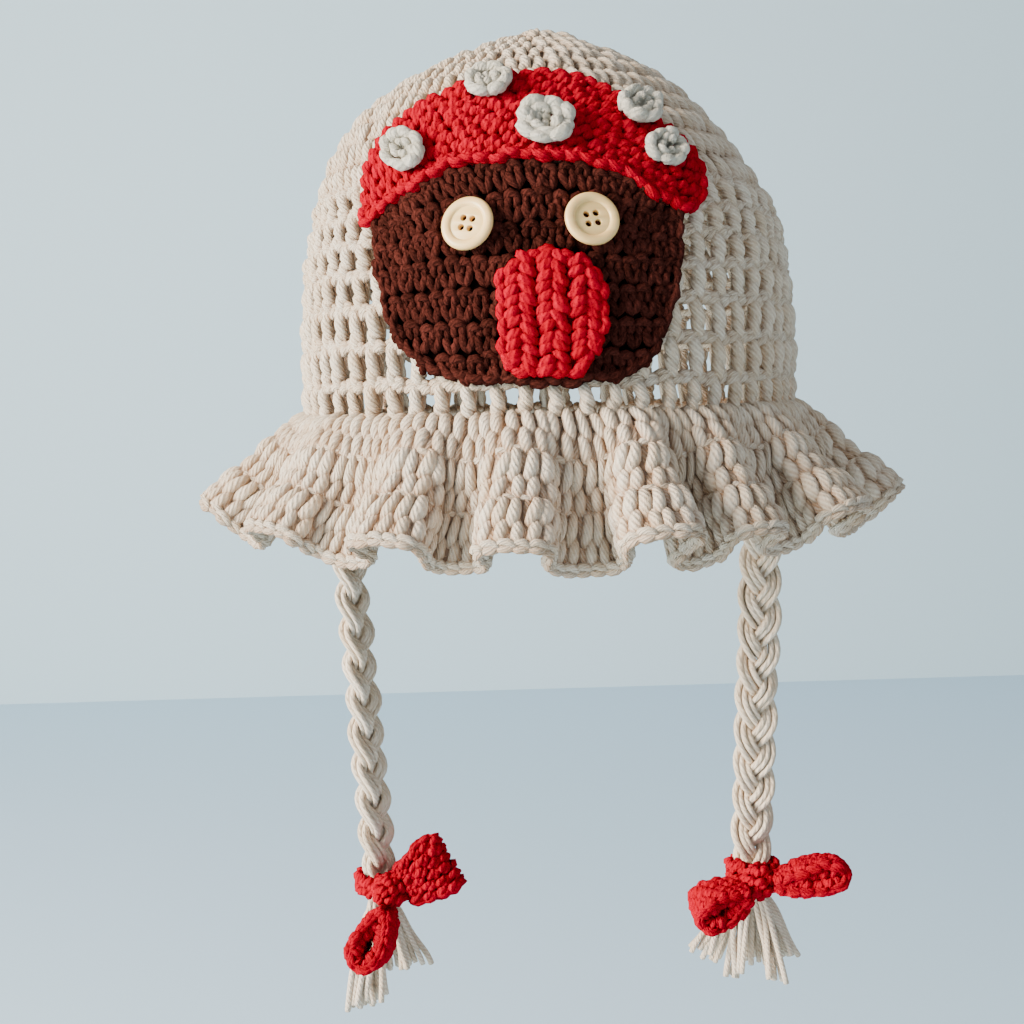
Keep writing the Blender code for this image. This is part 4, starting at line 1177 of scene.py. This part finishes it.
def loop_line(length, height):
    """The middle line of one loop's band, edge on: the lengths along it, places, normals and reach."""
    turn = np.linspace(0, math.tau, 241)
    wall = BOW_BAND_THICK / 2
    start = BOW_KNOT_DIAMETER / 4
    out = (1 - np.cos(turn)) / 2
    half = height / 2 * np.abs(np.sin(turn / 2)) ** LOOP_FULLNESS
    x = start + wall + (length - start - 2 * wall) * out
    z = np.sin(turn) * np.maximum(half - wall, half * LOOP_PINCH)
    dx, dz = np.gradient(x), np.gradient(z)
    size = np.hypot(dx, dz)
    return lengths_along(np.stack([x, z], axis=1)), x, z, -dz / size, dx / size, out


def moved(places, moves):
    """Places turned and shifted by a matrix."""
    flat = places.reshape(-1, 3) @ np.array(moves.to_3x3()).T + np.array(moves.translation)
    return flat.reshape(places.shape)


def bow_layer(line, moves):
    """What lays stitches on a loop's band: along it, across it and above its middle."""
    lengths, *values = line

    def lay(along, up, above):
        x, z, normal_x, normal_z, out = (np.interp(along, lengths, part) for part in values)
        share = (BAND_PINCH + (1 - BAND_PINCH) * out) * (1 - LOOP_END_PINCH * out**8)
        return moved(np.stack([x + normal_x * above, up * share, z + normal_z * above], axis=-1), moves)

    return lay


bow_knob = stitch((KNOB, 6, 5))
knob_over = {**bow_knob, "corners": bow_knob["corners"] * (1, 1, 0.8) + (0, 0, 0.0006)}
knob_under = {**bow_knob, "corners": bow_knob["corners"] * (-1, 1, -1.3) - (0, 0, 0.0004)}
for side, loops in BOWS.items():
    clear = TIE_DIAMETER / 2 + 2 * GAP
    above_end, end = (Vector(place) for place in TIE_ROUTES[side][-2:])
    centre = end + (above_end - end).normalized() * BOW_BINDING_HEIGHT / 2
    whole_turn = Matrix.Translation(centre) @ Matrix.Rotation(math.radians(BOW_TURNS[side]), 4, "Z")
    jobs = []
    for heading, twist, length, height, band in loops:
        line = loop_line(BOW_LENGTH / 2 * length, BOW_LOOP_HEIGHT * height)
        length = line[0][-1]
        wide = BOW_BAND_WIDTH * band
        turn = Matrix.Rotation(math.radians(-heading), 4, "Y") @ Matrix.Rotation(math.radians(twist), 4, "X")
        trial = bow_layer(line, turn)
        edge = np.linspace(0, length, 60)
        outside = np.full(60, BOW_BAND_THICK / 2)
        rear = max(float(trial(edge, np.full(60, way * wide / 2), outside)[:, 1].max()) for way in (-1, 1))
        lay = bow_layer(line, whole_turn @ Matrix.Translation((0, -clear - rear, 0)) @ turn)
        rows = round(wide / BOW_SPACING)
        count = round(length / BOW_SPACING)
        cells = []
        for row in range(rows):
            across = ((row + 0.5) / rows - 0.5) * (wide - 2 * BAND_MARGIN)
            stagger = 0.5 + 0.4 * (row % 2)
            cells += [((place + stagger) * length / count, across, 1, 1, 0) for place in range(count)]
        jobs += [(knob_over, cells, lay), (knob_under, cells, lay)]
        for way, link in ((-1, link_below), (1, edge_link)):
            across = way * (wide / 2 - BAND_EDGE_IN)
            rim = [((place + 0.5) * length / count, across, 1, 1, 0) for place in range(count)]
            jobs.append((link, rim, lay))

    def on_binding(angle, up, above):
        out = clear - BINDING_TIGHT + BOW_BINDING_THICK / 2 + above
        return moved(np.stack([np.sin(angle) * out, -np.cos(angle) * out, up], axis=-1), whole_turn)

    def on_knot(angle, up, above):
        radius = BOW_KNOT_DIAMETER / 2
        tall = up / radius
        out = radius + above - KNOT_TIGHT
        level = np.cos(tall) * out
        forward = -clear - radius - np.cos(angle) * level
        return moved(np.stack([np.sin(angle) * level, forward, np.sin(tall) * out], axis=-1), whole_turn)

    rounds = [
        (BINDING_ROW, on_binding, (knob, knob_under), (BINDING_STITCHES, BINDING_STITCHES)),
        (KNOT_ROW, on_knot, (knob,), KNOT_ROUNDS),
    ]
    for row_height, lay, patterns, counts in rounds:
        cells = []
        for row, count in enumerate(counts):
            up = (row - (len(counts) - 1) / 2) * row_height
            wide = math.tau / count / KNOB_WIDTH
            cells += [(math.tau * (place + 0.5 * row) / count, up, wide, 1, 0) for place in range(count)]
        jobs += [(pattern, cells, lay) for pattern in patterns]
    bow_name = "bow_" + side + "_stitches"
    bow = work(bow_name, jobs, red_yarn, seed=80 + len(side), loose=1.4, shaded_depth=0.0008, woolly=0.00014)
    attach(bow, "root")
    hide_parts("bow_" + side)


# Tassels: below each bow the plait's own yarn ends hang loose, in six locks of six yarns, cut off blunt. They
# spread a little, and no two are of one length.
TASSEL_HEAD_DIAMETER = 0.0115
TASSEL_LENGTH = 0.050
TASSEL_YARN = 0.0022
LOCK_ROOT = 0.45
LOCK_BEND = 0.7
YARNS_IN_LOCK = 6
# How far up into the binding the yarns reach, and how near its middle they are there
ROOT_UP = 0.0075
ROOT_NARROW = 0.6
# How far a yarn stands from its lock's middle at the top, how far its end strays and how deep its waves are
YARN_SPREAD = (0.0009, 0.0024)
END_STRAY = 0.0012
WAVE_DEPTH = 0.0009
LOCKS = {
    # aside, back, length
    "left": (
        (-0.22, 0.02, 0.96),
        (-0.12, 0.10, 1.00),
        (-0.03, 0.00, 0.92),
        (0.04, 0.12, 0.70),
        (0.12, 0.02, 0.64),
        (0.20, 0.10, 0.66),
    ),
    "right": (
        (-0.38, 0.04, 0.58),
        (-0.26, 0.12, 0.70),
        (-0.10, 0.00, 0.78),
        (0.02, 0.12, 0.74),
        (0.11, -0.02, 0.80),
        (0.27, 0.08, 0.66),
    ),
}

for side, locks in LOCKS.items():
    draw = np.random.default_rng(90 + len(side))
    radius = TASSEL_HEAD_DIAMETER / 2
    centre = np.array(TIE_ROUTES[side][-1]) - (0, 0, radius + GAP)
    down = np.linspace(0, 1, 12)[:, None]
    yarns = []
    for aside, back, length in locks:
        lean = np.array((aside, back, 0)) * TASSEL_LENGTH
        start = centre + lean / np.linalg.norm(lean) * LOCK_ROOT * radius
        for yarn in range(YARNS_IN_LOCK):
            around = math.tau * (yarn + draw.uniform(0, 0.6)) / YARNS_IN_LOCK
            spread = np.array((math.cos(around), math.sin(around), 0)) * draw.uniform(*YARN_SPREAD)
            drop = (TASSEL_LENGTH * length - radius) * draw.uniform(0.90, 1.0)
            stray = np.array((*draw.normal(0, END_STRAY, 2), 0))
            wave = np.sin(down * draw.uniform(3, 6) + draw.uniform(0, 6)) * down
            wave = wave * (*draw.normal(0, WAVE_DEPTH, 2), 0)
            places = start + spread * (1 + 0.6 * down) + (0, 0, -drop) * down + lean * down**LOCK_BEND
            places += stray * down**2 + wave
            root = centre + (places[0] - centre) * (ROOT_NARROW, ROOT_NARROW, 1) + (0, 0, ROOT_UP)
            places = np.vstack([root, places])
            radii = np.full(len(places), TASSEL_YARN / 2) * draw.uniform(0.92, 1.08)
            yarns.append(strand(places, radii, 8))
    tones = draw.uniform(0.2, 0.8, len(yarns))
    # The tassel's yarns get a faint painted shade, a twentieth of the way to the deep colour
    tassel = bundle_of_yarns("tassel_" + side + "_yarns", yarns, plait_yarn, tones, 0.05)
    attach(tassel, "root")
    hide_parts("tassel_" + side)

for side, route in TIE_ROUTES.items():
    [tuple(float(x) for x in p) for p in smooth_run(route, 40)]


# The floor and the wall behind are plain, pale and matt, with a soft daylight from a window on the left. The
# line where they meet lies 0.2177 below the eye for each length ahead of it, as in the photo.
WALL_DISTANCE = 4.0
MEETING_SLOPE = 0.2177
FLOOR_Z = EYE.z - MEETING_SLOPE * (WALL_DISTANCE - EYE.y)
BACKDROP_REACH = 9.0
WALL_SUNK = 0.1
HAT_MIDDLE = Vector((0, 0, RIM_Z + 0.03))


def plain_backdrop(name, colour, place, lean):
    """A large square sheet of matt painted board."""
    shape = bmesh.new()
    bmesh.ops.create_grid(shape, x_segments=1, y_segments=1, size=BACKDROP_REACH)
    seat = Matrix.Translation(place) @ Matrix.Rotation(lean, 4, "X")
    bmesh.ops.transform(shape, matrix=seat, verts=shape.verts)
    mesh = bpy.data.meshes.new(name)
    shape.to_mesh(mesh)
    shape.free()
    paint, _ = new_finish(name, {"Base Color": linear(colour), "Roughness": 0.9, "Specular IOR Level": 0.1})
    backdrop = placed(name, mesh, paint)


plain_backdrop("pale matt floor", "#D4EDFF", Vector((0, 0, FLOOR_Z)), 0)
wall_middle = Vector((0, WALL_DISTANCE, FLOOR_Z + BACKDROP_REACH - WALL_SUNK))
plain_backdrop("pale matt wall", "#D3EBF5", wall_middle, math.radians(90))

sky = bpy.data.worlds.new("daylight")
sky.use_nodes = True
sky.node_tree.nodes["Background"].inputs["Color"].default_value = linear("#E4ECF2")
sky.node_tree.nodes["Background"].inputs["Strength"].default_value = 0.42
bpy.context.scene.world = sky


def soft_light(name, place, size, power, colour):
    """A round soft light that faces the hat."""
    lamp = bpy.data.lights.new(name, "AREA")
    lamp.shape = "DISK"
    lamp.size = size
    lamp.energy = power
    lamp.color = linear(colour)[:3]
    light = bpy.data.objects.new(name, lamp)
    way = HAT_MIDDLE - Vector(place)
    light.matrix_world = Matrix.Translation(place) @ way.to_track_quat("-Z", "Y").to_matrix().to_4x4()
    bpy.context.scene.collection.objects.link(light)


soft_light("window", (-3.4, -1.3, 0.80), 2.2, 600, "#FFF6EA")
soft_light("room", (0.9, -1.0, 0.3), 1.2, 4.5, "#EAF2FF")
soft_light("ceiling", (-0.3, -0.4, 1.1), 1.4, 2.5, "#E4EEFF")
